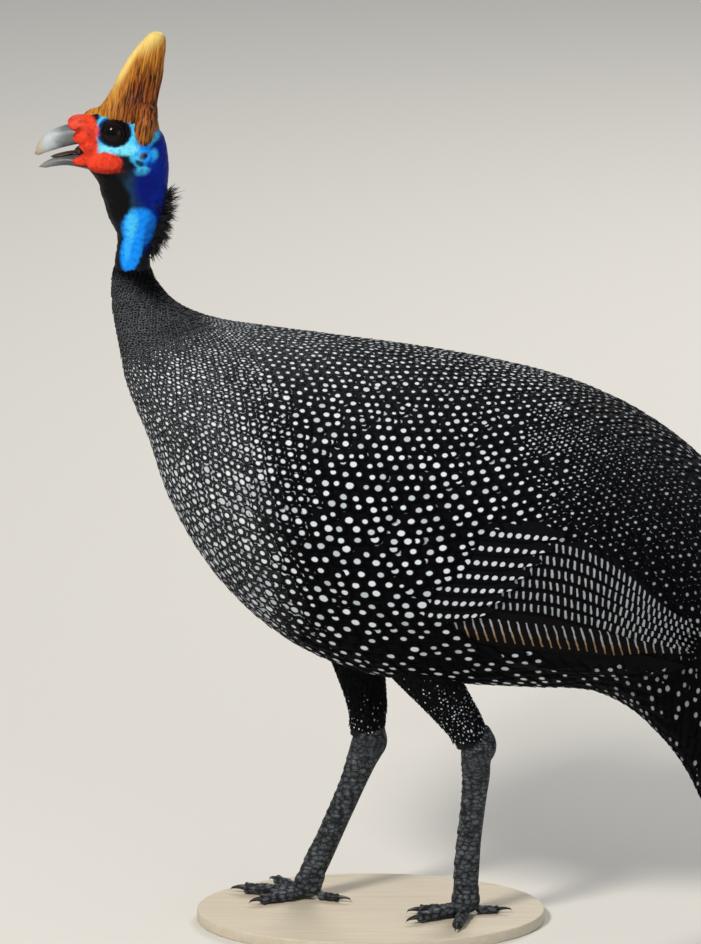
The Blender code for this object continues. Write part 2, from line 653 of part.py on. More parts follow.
def make_head(eyes, finish):
    """The head, with lids, ear openings and the corner of the mouth."""
    head = trunk_piece("head", AT["bill root"], AT["head root"] - 0.03, 11, HEAD_AROUND, finish)
    rims, holes = [], []
    for side in SIDES:
        look = Vector((EYE_LOOK.x, EYE_LOOK.y * side, EYE_LOOK.z)).normalized()
        lid = upright(EYE_CENTRE, EYE_OUT * side) + look * LID_OUT
        rims.append(ring("lid", lid, look, LID_RADIUS, LID_THICKNESS, finish))
        t, angle = locate(*EAR_AT, first="bill root", last="head root")
        ear, out = skin(t, angle * side), outward(t, angle * side)
        rims.append(ring("ear rim", ear, out, EAR_RADIUS, 0.75, finish, steps=8, sides=3))
        holes.append(ellipsoid("ear", ear, (1.5, 2.2, 1.9), finish, 7, 5))
    fuse(head, rims)
    for hole in holes:
        cut_away(head, hole)
    cut_clear(head, *eyes)
    cut_away(head, ellipsoid("mouth", Vector((-162.5, 0, 393.3)), (8.0, 14.0, 2.9), finish))
    return head


def make_casque(head, eyes, finish):
    """The horn casque, with the lobes that run down behind the eyes and a knob in front."""
    casque = add_object("casque", loft(flat_ovals(CASQUE, 10), middle(CASQUE[0]),
                                       upright(CASQUE_TIP), 16), finish)
    place, out, radii = CASQUE_LOBE
    lobes = [ellipsoid("lobe", upright(place, out * side), radii, finish, 10, 7) for side in SIDES]
    knob, radii = CASQUE_KNOB
    fuse(casque, lobes + [ellipsoid("knob", upright(knob), radii, finish, 10, 7)])
    cut_clear(casque, head, *eyes)
    return casque


def make_bill(head, finish):
    """The two mandibles, a little apart."""
    made = []
    for name, cuts, tip, count in (("bill_upper", UPPER_BILL, UPPER_BILL_TIP, 9),
                                   ("bill_lower", LOWER_BILL, LOWER_BILL_TIP, 8)):
        horn = add_object(name, loft(flat_ovals(cuts, count), middle(cuts[0]), upright(tip), 14), finish)
        cut_clear(horn, head)
        made.append(horn)
    return made


def make_red_skin(head, upper, lower, casque, finish):
    """The cere over the nostrils, and a wattle at each corner of the mouth."""
    lobes = [ellipsoid("lobe", upright(place, out * side), radii, finish, 10, 7)
             for side in SIDES for place, out, radii in CERE_LOBES]
    cere = ellipsoid("cere", upright((-158.4, 405.6)), (5.6, 5.0, 4.3), finish, 10, 7)
    fuse(cere, lobes)
    place, out, radii, tilt = NOSTRIL
    for side in SIDES:
        cut_away(cere, ellipsoid("nostril", upright(place, out * side), radii, finish, tilt=tilt))
    cut_clear(cere, head, upper, casque)
    for side, name in SIDES.items():
        first, *others = [ellipsoid("lobe", upright(place, out * side), radii, finish, 10, 7)
                          for place, out, radii in WATTLE_LOBES]
        first.name = "wattle_" + name
        fuse(first, others)
        cut_clear(first, head, upper, lower)


def make_base(finish):
    """A plain oval board, which keeps the walking bird from tipping over."""
    bm = bmesh.new()
    bmesh.ops.create_cone(bm, cap_ends=True, segments=BASE_AROUND, radius1=1.0, radius2=1.0,
                          depth=BASE_THICKNESS)
    bmesh.ops.scale(bm, vec=(*BASE_HALF, 1.0), verts=bm.verts)
    bmesh.ops.translate(bm, vec=(*BASE_AT, -GAP - BASE_THICKNESS / 2), verts=bm.verts)
    return add_object("stand_base", bm, finish)


def stand_on_origin():
    """Move every solid so that the whole stands at Z = 0 and the middle of its length at X = 0."""
    solids = list(bpy.data.objects)
    places = [vert.co for solid in solids for vert in solid.data.vertices]
    along = [place.x for place in places]
    shift = Vector((-(min(along) + max(along)) / 2, 0, -min(place.z for place in places)))
    for solid in solids:
        solid.data.transform(Matrix.Translation(shift))


def main():
    clear_scene()
    plumage = finish_of("spotted plumage", (0.035, 0.037, 0.042), 0.62)
    blue = finish_of("bare blue skin", (0.015, 0.11, 0.55), 0.5)
    red = finish_of("red skin", (0.62, 0.05, 0.02), 0.45)
    horn = finish_of("casque horn", (0.48, 0.22, 0.06), 0.55)
    bill_horn = finish_of("bill horn", (0.22, 0.25, 0.28), 0.35)
    wet = finish_of("wet eye", (0.01, 0.008, 0.007), 0.08)
    scaly = finish_of("scaly leg", (0.06, 0.065, 0.075), 0.5)
    claw_horn = finish_of("claw horn", (0.03, 0.028, 0.026), 0.4)
    board = finish_of("pale board", (0.62, 0.57, 0.48), 0.7)

    neck_root = AT["neck root"] + 0.5
    torso = trunk_piece("torso", neck_root, AT["tail root"], 20, BODY_AROUND, plumage)
    trunk_piece("neck_lower", AT["neck waist"], neck_root - 0.02, 6, NECK_AROUND, plumage)
    neck = trunk_piece("neck_upper", AT["head root"], AT["neck waist"] - 0.03, 6, NECK_AROUND, blue)
    add_locks(neck, blue)
    eyes = [ellipsoid("eye_" + name, upright(EYE_CENTRE, EYE_OUT * side), (EYE_RADIUS,) * 3, wet, 12, 8)
            for side, name in SIDES.items()]
    head = make_head(eyes, blue)
    casque = make_casque(head, eyes, horn)
    upper, lower = make_bill(head, bill_horn)
    make_red_skin(head, upper, lower, casque, red)
    make_tail(plumage)
    for side, name in SIDES.items():
        make_wing(side, torso, plumage)
        tarsus = make_tarsus(side, scaly)
        cut_clear(tarsus, make_foot(side, scaly, claw_horn))
        thigh = limb("thigh_" + name, THIGH[side], side, 9, 14, plumage)
        cut_clear(thigh, torso, tarsus)
    make_base(board)
    stand_on_origin()


main()
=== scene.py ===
# %% [markdown]
# A life-size helmeted guineafowl, walking with its bill a little open, on a plain oval base.
# The solids of the bird come in as a fixed frame. This lesson dresses them: one bare skin with
# its folds, then thousands of small feathers laid on it row by row, then horn, eyes and scales.
# Lengths are written in the bird's own millimetres, where X runs from bill to tail, and each
# finished mesh is scaled to metres and set on the frame at the end.

# %% Load the frame
import math

import bmesh
import bpy
import numpy as np
from mathutils import Matrix, Vector, noise


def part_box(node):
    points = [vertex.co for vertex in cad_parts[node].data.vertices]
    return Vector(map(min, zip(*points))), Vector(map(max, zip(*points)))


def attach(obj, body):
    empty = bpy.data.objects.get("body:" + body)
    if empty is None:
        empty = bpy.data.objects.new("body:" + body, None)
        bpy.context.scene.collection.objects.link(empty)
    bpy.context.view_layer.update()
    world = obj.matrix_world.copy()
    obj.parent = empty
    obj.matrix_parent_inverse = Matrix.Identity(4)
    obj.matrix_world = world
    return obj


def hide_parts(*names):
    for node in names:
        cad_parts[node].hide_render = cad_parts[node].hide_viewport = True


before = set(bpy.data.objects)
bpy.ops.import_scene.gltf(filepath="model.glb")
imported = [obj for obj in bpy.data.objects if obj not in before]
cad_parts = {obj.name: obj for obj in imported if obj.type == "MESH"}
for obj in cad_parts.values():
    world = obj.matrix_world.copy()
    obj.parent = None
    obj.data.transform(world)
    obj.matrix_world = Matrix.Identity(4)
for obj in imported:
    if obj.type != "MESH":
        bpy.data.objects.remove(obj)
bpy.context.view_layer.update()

# %% [markdown]
# The bird's own millimetres and the frame's metres differ by a scale and a shift. The left eye
# is a ball whose middle is known in both, so it gives the shift, and everything else follows.

# %% The bird's millimetres on the frame
MM = 0.001
LEFT, RIGHT = -1, 1
SIDES = {LEFT: "left", RIGHT: "right"}
EYE_CENTRE, EYE_OUT, EYE_RADIUS = (-141.4, 403.3), 9.0, 6.8
EYE_LOOK = (-0.24, 0.96, 0.12)
eye_low, eye_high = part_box("eye_left")
eye_middle = (eye_low + eye_high) / 2
SHIFT = np.array([eye_middle.x - EYE_CENTRE[0] * MM, 0.0, eye_middle.z - EYE_CENTRE[1] * MM])
FLOOR = -SHIFT[2] / MM
print("shift in mm:", (SHIFT / MM).round(3), "floor at", round(FLOOR, 2))

# %% [markdown]
# A bird's head, neck, body and tail are one long sleeve of skin. It is given by a few cuts,
# each with a point on the back, a point on the front and a half width, and a smooth curve
# through them. The functions take whole arrays of numbers, because thousands of feathers will
# ask them where they lie.

# %% The sleeve of skin
SPINE = [
    ("bill root", (-160.5, 408.0), (-158.0, 388.0), 7.5),
    ("lores", (-155.0, 411.5), (-156.8, 385.6), 10.5),
    ("brow", (-147.0, 412.3), (-154.9, 383.5), 13.2),
    ("eye", (-135.5, 411.8), (-153.0, 381.2), 14.9),
    ("crown", (-124.5, 407.5), (-151.1, 378.6), 15.1),
    ("ear", (-117.5, 400.0), (-149.4, 375.5), 14.6),
    ("jaw", (-115.2, 390.0), (-148.6, 371.0), 13.8),
    ("head root", (-114.9, 380.0), (-146.9, 366.3), 12.8),
    ("upper neck", (-116.6, 366.0), (-144.6, 358.3), 11.4),
    ("throat", (-120.5, 352.0), (-140.6, 349.5), 9.8),
    ("neck waist", (-124.3, 338.0), (-141.6, 338.0), 9.2),
    ("ruff", (-120.3, 325.0), (-143.9, 326.0), 11.0),
    ("neck root", (-108.4, 312.5), (-143.4, 311.0), 16.0),
    ("shoulder", (-88.0, 304.4), (-140.5, 294.8), 24.5),
    ("crop", (-61.8, 300.2), (-136.3, 273.5), 34.0),
    ("breast", (-33.5, 296.3), (-125.9, 246.7), 44.0),
    ("wing root", (-5.0, 292.5), (-114.3, 212.8), 53.0),
    ("keel", (22.5, 288.3), (-92.3, 176.3), 60.5),
    ("back", (50.5, 283.0), (-60.3, 145.8), 65.5),
    ("flank", (78.0, 276.0), (-19.5, 126.8), 68.0),
    ("loin", (103.3, 266.2), (27.0, 121.5), 67.5),
    ("hip", (127.8, 252.6), (65.0, 119.2), 63.5),
    ("rump", (152.0, 233.0), (94.0, 117.2), 56.0),
    ("vent", (172.0, 208.0), (114.0, 107.5), 46.5),
    ("tail root", (186.6, 180.0), (128.0, 94.5), 37.0),
    ("tail cover", (195.0, 151.0), (138.0, 82.5), 30.0),
    ("tail middle", (197.0, 121.0), (146.0, 69.5), 24.5),
    ("tail end", (194.0, 91.0), (152.0, 56.5), 18.5),
    ("tail tip", (185.5, 63.0), (158.5, 43.5), 13.5),
    ("tail point", (177.5, 33.0), (161.0, 27.0), 12.5),
]
AT = {row[0]: index for index, row in enumerate(SPINE)}
BACKS = np.array([(row[1][0], 0.0, row[1][1]) for row in SPINE])
FRONTS = np.array([(row[2][0], 0.0, row[2][1]) for row in SPINE])
HALF_WIDTHS = np.array([row[3] for row in SPINE])
SQUARENESS, BELLY_FULLNESS = 2.25, 0.05


def rounded(t, keys):
    """A smooth curve through evenly spaced keys, read at t, where 1 is the second key."""
    keys = np.asarray(keys, float)
    last = len(keys) - 1
    t = np.clip(np.asarray(t, float), 0.0, last)
    i = np.minimum(t.astype(int), last - 1)
    f = t - i
    before, a, b, after = (keys[np.clip(i + k, 0, last)] for k in (-1, 0, 1, 2))
    if keys.ndim > 1:
        f = f[..., None]
    return a + 0.5 * f * (b - before + f * (2 * before - 5 * a + 4 * b - after
                                            + f * (3 * (a - b) + after - before)))


def mix(a, b, share):
    """A value share of the way from a to b."""
    return a + (b - a) * share


def smooth_step(low, high, value):
    """A soft ramp from 0 at low to 1 at high."""
    share = np.clip((value - low) / (high - low), 0.0, 1.0)
    return share * share * (3 - 2 * share)


def bare_skin(t, angle):
    """Points of the sleeve: angle 0 is the back, pi the belly, and pi / 2 the right side."""
    t, angle = np.broadcast_arrays(np.asarray(t, float), np.asarray(angle, float))
    back, front = rounded(t, BACKS), rounded(t, FRONTS)
    fullness = BELLY_FULLNESS * np.clip(t - AT["neck root"], 0.0, 1.0)
    wide = rounded(t, HALF_WIDTHS) * (1 - fullness * np.cos(angle))
    up = np.sign(np.cos(angle)) * np.abs(np.cos(angle)) ** (2 / SQUARENESS)
    across = np.sign(np.sin(angle)) * np.abs(np.sin(angle)) ** (2 / SQUARENESS)
    point = (back + front) / 2 + (back - front) / 2 * up[..., None]
    point[..., 1] += wide * across
    return point


def outward(t, angle):
    """The sleeve's outward direction."""
    step = 0.03
    along = bare_skin(t + step, angle) - bare_skin(t - step, angle)
    around = bare_skin(t, angle + step) - bare_skin(t, angle - step)
    normal = np.cross(around, along)
    return normal / np.linalg.norm(normal, axis=-1, keepdims=True)


middle_of_back = outward(np.array(20.0), np.array(0.0))
TURN = 1.0 if middle_of_back[2] > 0 else -1.0
print("sleeve:", len(SPINE), "cuts, outward turn", TURN)

# %% [markdown]
# Maths in a material is easier to read as Python than as a picture of wires. One small class
# wraps a node's output, so that a sum or product of two of them adds the node that works it
# out. A second class holds one finish: its material, its shader and a few ready patterns.

# %% Wires that do sums
class Wire:
    """One output of a node, ready for plain arithmetic."""

    def __init__(self, finish, socket):
        self.finish = finish
        self.socket = socket

    def math(self, operation, *others):
        values = dict(enumerate((self, *others)))
        return self.finish.node("ShaderNodeMath", {"operation": operation}, values)

    def __add__(self, other):
        return self.math("ADD", other)

    def __sub__(self, other):
        return self.math("SUBTRACT", other)

    def __rsub__(self, other):
        return (self * -1.0).math("ADD", other)

    def __mul__(self, other):
        return self.math("MULTIPLY", other)

    def __truediv__(self, other):
        return self.math("DIVIDE", other)

    def __pow__(self, other):
        return self.math("POWER", other)

    __radd__, __rmul__ = __add__, __mul__


class Finish:
    """A Principled material that is wired up in plain Python."""

    def __init__(self, name, **constants):
        self.material = bpy.data.materials.new(name)
        self.material.use_nodes = True
        self.tree = self.material.node_tree
        self.shader = self.tree.nodes["Principled BSDF"]
        for socket, value in constants.items():
            self.shader.inputs[socket.replace("_", " ")].default_value = value

    def node(self, kind, settings, values, output=0):
        made = self.tree.nodes.new(kind)
        for setting, value in settings.items():
            setattr(made, setting, value)
        for key, value in values.items():
            if isinstance(value, Wire):
                self.tree.links.new(value.socket, made.inputs[key])
            else:
                made.inputs[key].default_value = value
        return Wire(self, made.outputs[output])

    def feed(self, socket, wire):
        self.tree.links.new(wire.socket, self.shader.inputs[socket])

    def vector(self, operation, *values):
        return self.node("ShaderNodeVectorMath", {"operation": operation}, dict(enumerate(values)))

    def place(self):
        """The point in the bird's own millimetres."""
        metres = self.node("ShaderNodeTexCoord", {}, {}, "Object")
        moved = self.vector("SUBTRACT", metres, tuple(SHIFT))
        return self.vector("MULTIPLY", moved, (1000.0, 1000.0, 1000.0))

    def parts(self, vector):
        """The three numbers of a vector."""
        split = self.tree.nodes.new("ShaderNodeSeparateXYZ")
        self.tree.links.new(vector.socket, split.inputs[0])
        return [Wire(self, split.outputs[i]) for i in range(3)]

    def joined(self, x, y, z=0.0):
        """A vector from three numbers."""
        return self.node("ShaderNodeCombineXYZ", {}, {0: x, 1: y, 2: z})

    def attribute(self, name):
        """A number that the mesh carries at its points."""
        return self.node("ShaderNodeAttribute", {"attribute_name": name}, {}, "Fac")

    def uv(self, name):
        """The piece's own flat map."""
        return self.node("ShaderNodeUVMap", {"uv_map": name}, {})

    def ramp(self, value, low, high):
        """A soft ramp from 0 at low to 1 at high."""
        return self.node("ShaderNodeMapRange", {"interpolation_type": "SMOOTHSTEP"},
                         {"Value": value, "From Min": low, "From Max": high})

    def blend(self, share, a, b):
        """A colour share of the way from a to b."""
        colours = {"Factor": share, 6: a, 7: b}
        return self.node("ShaderNodeMix", {"data_type": "RGBA"}, colours, 2)

    def noise(self, vector, scale, detail=2.0, roughness=0.5, distortion=0.0):
        """Cloudy values from 0 to 1."""
        return self.node("ShaderNodeTexNoise", {}, {"Vector": vector, "Scale": scale, "Detail": detail,
                                                    "Roughness": roughness, "Distortion": distortion})

    def cells(self, vector, scale, feature="F1", randomness=1.0):
        """Distances in a field of round cells."""
        return self.node("ShaderNodeTexVoronoi", {"feature": feature},
                         {"Vector": vector, "Scale": scale, "Randomness": randomness})

    def bump(self, height, strength, distance):
        """Fine relief, with its depth in metres."""
        normal = self.node("ShaderNodeBump", {}, {"Height": height, "Strength": strength,
                                                  "Distance": distance})
        self.feed("Normal", normal)


print("wires ready")

# %% [markdown]
# Every piece ends the same way: from millimetres to metres, onto the frame, smooth where the
# faces nearly line up, and riding on the bird's one body. A helper does all of that, so that no
# piece can forget a step.

# %% Finish a piece
pieces = {}


def settle(made, replaced=()):
    """Ride the frame, and stand for the solids that the piece takes the place of."""
    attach(made, "root")
    if replaced:
        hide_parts(*replaced)
    pieces[made.name] = made
    made.data.calc_loop_triangles()
    print(made.name, len(made.data.loop_triangles), "triangles")
    return made


def add_piece(name, bm, finish, replaced=(), smooth_angle=50.0, normals=True):
    """Make a piece of a closed shape given in the bird's millimetres."""
    if normals:
        bmesh.ops.recalc_face_normals(bm, faces=bm.faces)
        if bm.calc_volume(signed=True) < 0:
            bmesh.ops.reverse_faces(bm, faces=bm.faces)
    bmesh.ops.scale(bm, vec=(MM, MM, MM), verts=bm.verts)
    bmesh.ops.translate(bm, vec=SHIFT, verts=bm.verts)
    mesh = bpy.data.meshes.new(name)
    bm.to_mesh(mesh)
    bm.free()
    mesh.shade_smooth()
    mesh.set_sharp_from_angle(angle=math.radians(smooth_angle))
    mesh.materials.append(finish.material)
    made = bpy.data.objects.new(name, mesh)
    bpy.context.scene.collection.objects.link(made)
    return settle(made, replaced)


def loft(ring, first, last, rows, around):
    """A closed sleeve: ring takes a share from 0 to 1 and angles, and gives that ring's points."""
    bm = bmesh.new()
    bmesh.ops.create_uvsphere(bm, u_segments=around, v_segments=rows + 1, radius=1.0)
    bm.verts.ensure_lookup_table()
    points = np.array([vert.co for vert in bm.verts])
    level = np.rint(np.arccos(np.clip(points[:, 2], -1, 1)) / math.pi * (rows + 1)).astype(int)
    angle = np.arctan2(points[:, 1], points[:, 0])
    for row in range(rows + 2):
        chosen = np.flatnonzero(level == row)
        if row == 0:
            points[chosen] = first
        elif row == rows + 1:
            points[chosen] = last
        else:
            points[chosen] = ring((row - 1) / (rows - 1), angle[chosen])
    for vert, point in zip(bm.verts, points):
        vert.co = point
    return bm


def ball(centre, radii, around=32, rows=20, tilt=0.0, yaw=0.0):
    """An egg shape that is tilted in side view and turned about the upright."""
    bm = bmesh.new()
    bmesh.ops.create_uvsphere(bm, u_segments=around, v_segments=rows, radius=1.0)
    bmesh.ops.scale(bm, vec=radii, verts=bm.verts)
    bmesh.ops.rotate(bm, cent=(0, 0, 0), matrix=Matrix.Rotation(math.radians(-tilt), 3, "Y"),
                     verts=bm.verts)
    bmesh.ops.rotate(bm, cent=(0, 0, 0), matrix=Matrix.Rotation(math.radians(yaw), 3, "Z"),
                     verts=bm.verts)
    bmesh.ops.translate(bm, vec=centre, verts=bm.verts)
    return bm


def gather(shapes):
    """Several shapes in one bmesh."""
    whole = bmesh.new()
    for shape in shapes:
        kept = bpy.data.meshes.new("part")
        shape.to_mesh(kept)
        shape.free()
        whole.from_mesh(kept)
        bpy.data.meshes.remove(kept)
    return whole


def remeshed(bm, voxel, smoothing):
    """The outer surface of overlapping closed shapes as one even skin."""
    mesh = bpy.data.meshes.new("rough")
    bm.to_mesh(mesh)
    bm.free()
    rough = bpy.data.objects.new("rough", mesh)
    bpy.context.scene.collection.objects.link(rough)
    modifier = rough.modifiers.new("even", "REMESH")
    modifier.mode = "VOXEL"
    modifier.voxel_size = voxel
    bpy.context.view_layer.update()
    graph = bpy.context.evaluated_depsgraph_get()
    result = bmesh.new()
    result.from_mesh(rough.evaluated_get(graph).data)
    bpy.data.objects.remove(rough)
    for _ in range(smoothing):
        bmesh.ops.smooth_vert(result, verts=result.verts, factor=0.5, use_axis_x=True,
                              use_axis_y=True, use_axis_z=True)
    return result


print("helpers ready")

# %% [markdown]
# The camera looks at the bird's left side from a little above, from far off, as a long lens
# does. Half a millimetre of the bird is one pixel of a picture that is 701 wide and 944 high.
# The floor and the lights are plain and pale, with the key light high on the left.

# %% Camera, floor and light
WIDTH, HEIGHT = 701, 944
MM_PER_PIXEL, DISTANCE, ELEVATION = 0.5, 4500.0, math.radians(15.0)
ORIGIN_COLUMN, AIM_HEIGHT = 400.0, 227.4
SENSOR = 36.0
aim = np.array([(WIDTH / 2 - ORIGIN_COLUMN) * MM_PER_PIXEL, 0.0, AIM_HEIGHT])
back = np.array([0.0, -math.cos(ELEVATION), math.sin(ELEVATION)])
camera = bpy.data.objects.new("camera", bpy.data.cameras.new("camera"))
bpy.context.scene.collection.objects.link(camera)
camera.data.sensor_width = SENSOR
camera.data.lens = SENSOR * DISTANCE / (HEIGHT * MM_PER_PIXEL)
camera.data.clip_start, camera.data.clip_end = 0.1, 100.0
camera.location = Vector((aim + back * DISTANCE) * MM + SHIFT)
camera.rotation_euler = (math.pi / 2 - ELEVATION, 0.0, 0.0)
bpy.context.scene.camera = camera

floor_bm = bmesh.new()
bmesh.ops.create_grid(floor_bm, x_segments=1, y_segments=1, size=12.0)
floor_mesh = bpy.data.meshes.new("floor")
floor_bm.to_mesh(floor_mesh)
floor_bm.free()
floor = bpy.data.objects.new("floor", floor_mesh)
bpy.context.scene.collection.objects.link(floor)
floor_finish = Finish("pale floor", Base_Color=(0.66, 0.64, 0.60, 1.0), Roughness=0.9)
floor_mesh.materials.append(floor_finish.material)


def add_light(name, place, size, power, colour):
    """A soft square lamp that faces the bird's middle."""
    data = bpy.data.lights.new(name, "AREA")
    data.size, data.energy, data.color = size, power, colour
    lamp = bpy.data.objects.new(name, data)
    bpy.context.scene.collection.objects.link(lamp)
    lamp.location = place
    lamp.rotation_euler = (Vector((0, 0, 0.22)) - Vector(place)).to_track_quat("-Z", "Y").to_euler()


add_light("key", (-1.2, -1.5, 2.0), 0.5, 60.0, (1.0, 0.96, 0.89))
add_light("fill", (1.6, -2.0, 0.8), 1.4, 12.0, (0.9, 0.95, 1.0))
add_light("rim", (0.6, 1.6, 1.5), 0.9, 22.0, (1.0, 0.97, 0.92))
world = bpy.data.worlds.new("soft room")
world.use_nodes = True
world.node_tree.nodes["Background"].inputs["Color"].default_value = (0.80, 0.84, 0.90, 1.0)
world.node_tree.nodes["Background"].inputs["Strength"].default_value = 0.36
bpy.context.scene.world = world
bpy.context.scene.view_settings.view_transform = "Standard"
print("camera lens", round(camera.data.lens, 1))

# %% [markdown]
# The folded wing swells the body's side by a few millimetres. The feathers of the body and of
# the wing lie in one unbroken pattern, so the swelling is a relief over the sleeve, read from a
# grid. Its outline is the same as the solid wing's.

# %% The wing's relief
WING_TOP = [(-82.0, 256.0), (-40.0, 272.0), (8.0, 266.0), (55.0, 247.0), (100.0, 221.0),
            (138.0, 190.0), (160.0, 160.0)]
WING_LOW = [(-84.0, 246.0), (-62.0, 206.0), (-20.0, 176.0), (32.0, 153.0), (80.0, 138.5),
            (125.0, 134.0), (158.0, 146.0)]
WING_EDGE, WING_THICKNESS = 1.2, 5.0
WING_STEPS = 240
T_FIRST, T_LAST = 9.4, 28.9
T_GRID = np.linspace(T_FIRST, T_LAST, 390)
ANGLE_GRID = np.radians(np.linspace(0.0, 180.0, 181))


def wing_share(x, z):
    """How far along the wing and how far up it a point of the side view is."""
    s = np.linspace(-0.1, 1.1, WING_STEPS)
    low, top = wing_edges(s)
    shape = x.shape
    x, z = x.reshape(-1, 1), z.reshape(-1, 1)
    up = top - low
    beyond = up[:, 0] * (z - low[:, 1]) - up[:, 1] * (x - low[:, 0])
    passed = np.argmax(np.diff(np.sign(beyond), axis=1) != 0, axis=1)
    found = np.abs(np.diff(np.sign(beyond), axis=1)).max(axis=1) > 0
    rows = np.arange(len(x))
    a, b = beyond[rows, passed], beyond[rows, passed + 1]
    part = np.where(found, a / np.where(a == b, 1.0, a - b), 0.0)
    along = np.where(found, mix(s[passed], s[passed + 1], part), -1.0)
    low, top = wing_edges(along)
    up = top - low
    offset = np.concatenate([x, z], axis=1) - low
    share = (offset * up).sum(axis=1) / np.maximum((up * up).sum(axis=1), 1e-6)
    return along.reshape(shape), share.reshape(shape)


def wing_edges(s):
    """The lower and upper edge of the wing, carried on a little past both ends."""
    last = len(WING_TOP) - 1.0
    low, top = rounded(np.clip(s, 0, 1) * last, WING_LOW), rounded(np.clip(s, 0, 1) * last, WING_TOP)
    before = np.minimum(s, 0.0)[..., None] * 250.0
    after = np.maximum(s - 1.0, 0.0)[..., None] * np.array([170.0, -60.0])
    ahead = np.array([1.0, 0.0])
    return low + before * ahead + after, top + before * ahead + after


def read_grid(table, row, column):
    """A table read between its entries."""
    row = np.clip(row, 0, table.shape[0] - 1.001)
    column = np.clip(column, 0, table.shape[1] - 1.001)
    i, j = row.astype(int), column.astype(int)
    f, g = row - i, column - j
    return ((table[i, j] * (1 - g) + table[i, j + 1] * g) * (1 - f)
            + (table[i + 1, j] * (1 - g) + table[i + 1, j + 1] * g) * f)


sleeve_grid = bare_skin(T_GRID[:, None], ANGLE_GRID[None, :])
wing_s, wing_v = wing_share(sleeve_grid[..., 0], sleeve_grid[..., 2])
inside_wing = (wing_s > 0) & (wing_s < 1) & (wing_v > 0) & (wing_v < 1)
swell = mix(WING_EDGE, WING_THICKNESS, 2 * np.sqrt(np.clip(wing_v * (1 - wing_v), 0, 1)))
RELIEF = np.where(inside_wing, swell * smooth_step(0.0, 0.12, wing_s), 0.0)
for _ in range(4):
    RELIEF[1:-1] = (RELIEF[:-2] + 2 * RELIEF[1:-1] + RELIEF[2:]) / 4
    RELIEF[:, 1:-1] = (RELIEF[:, :-2] + 2 * RELIEF[:, 1:-1] + RELIEF[:, 2:]) / 4
print("wing relief up to", round(float(RELIEF.max()), 2), "mm,", int(inside_wing.sum()), "grid points")


def grid_place(t, angle):
    """Where a place of the sleeve falls on the grids, on either side of the bird."""
    folded = np.abs((angle + math.pi) % math.tau - math.pi)
    row = (t - T_FIRST) / (T_LAST - T_FIRST) * (len(T_GRID) - 1)
    return row, folded / math.pi * (len(ANGLE_GRID) - 1)


def coat(t, angle, out):
    """A point at a height over the body, the wing's swelling included."""
    lift = read_grid(RELIEF, *grid_place(t, angle)) + out
    return bare_skin(t, angle) + outward(t, angle) * TURN * lift[..., None]


# %% [markdown]
# Feathers sit in rows and columns like roof tiles, each row shifted by half a feather. Rows are
# counted along the body and columns from the bird's side line, up to the back and down to the
# belly. The spacing grows from the neck to the tail, so a column spreads as it runs back, as a
# bird's feather tracts do. One function turns a row, a column and a height into a point.

# %% Rows and columns of feathers
SPACING = [("neck waist", 2.5), ("ruff", 2.6), ("neck root", 3.0), ("shoulder", 3.6), ("crop", 4.4),
           ("breast", 5.2), ("wing root", 6.0), ("keel", 6.6), ("back", 6.9), ("flank", 7.0),
           ("loin", 7.0), ("hip", 7.0), ("rump", 7.1), ("vent", 7.4), ("tail root", 7.8),
           ("tail cover", 8.2), ("tail middle", 8.4), ("tail end", 8.4), ("tail tip", 8.4)]
ROW_PITCH = 0.84               # rows to the width of a column
UP_GROWTH, DOWN_GROWTH = 0.0080, 0.0035   # how much wider each column is than the one above it
BARE_TO = AT["neck waist"] - 0.05


def spacing(t):
    """The width of a feather's column at the bird's side line."""
    return rounded(t - AT["neck waist"], [gap for _, gap in SPACING])


arcs = np.linalg.norm(np.diff(sleeve_grid, axis=1), axis=2)
ARC = np.concatenate([np.zeros((len(T_GRID), 1)), np.cumsum(arcs, axis=1)], axis=1)
ARC -= ARC[:, 90:91]
REACH_UP, REACH_DOWN = -ARC[:, 0], ARC[:, -1]
SHARES = np.linspace(-1.0, 1.0, 241)
ANGLES = np.array([np.interp(np.where(SHARES < 0, SHARES * up, SHARES * down), arc, ANGLE_GRID)
                   for arc, up, down in zip(ARC, REACH_UP, REACH_DOWN)])
side_line = sleeve_grid[:, 90]
side_steps = np.linalg.norm(np.diff(side_line, axis=0), axis=1)
row_steps = side_steps / (ROW_PITCH * spacing((T_GRID[1:] + T_GRID[:-1]) / 2))
ROW_AT = np.concatenate([[0.0], np.cumsum(row_steps)])
print("rows of feathers:", int(ROW_AT[-1]))


def t_of_row(row):
    """The place along the sleeve of a row of feathers."""
    return np.interp(row, ROW_AT, T_GRID)


def column_arc(t, column):
    """The distance of a column from the side line, downwards."""
    growth = np.where(column < 0, UP_GROWTH, DOWN_GROWTH)
    return column * (1 + growth * column) * spacing(t)


def column_gap(t, column):
    """The width of a column where it is."""
    growth = np.where(column < 0, UP_GROWTH, DOWN_GROWTH)
    return spacing(t) * (1 + 2 * growth * column)


def angle_of(t, column):
    """The angle of a column, also where a feather reaches over the back or the belly."""
    arc = column_arc(t, column)
    row = (t - T_FIRST) / (T_LAST - T_FIRST) * (len(T_GRID) - 1)
    up, down = np.interp(t, T_GRID, REACH_UP), np.interp(t, T_GRID, REACH_DOWN)
    share = arc / np.where(arc < 0, up, down)
    over_back, over_belly = share < -1, share > 1
    share = np.where(over_back, -2 - share, np.where(over_belly, 2 - share, share))
    angle = read_grid(ANGLES, row, (share + 1) / 2 * (len(SHARES) - 1))
    return np.where(over_back, -angle, np.where(over_belly, math.tau - angle, angle))
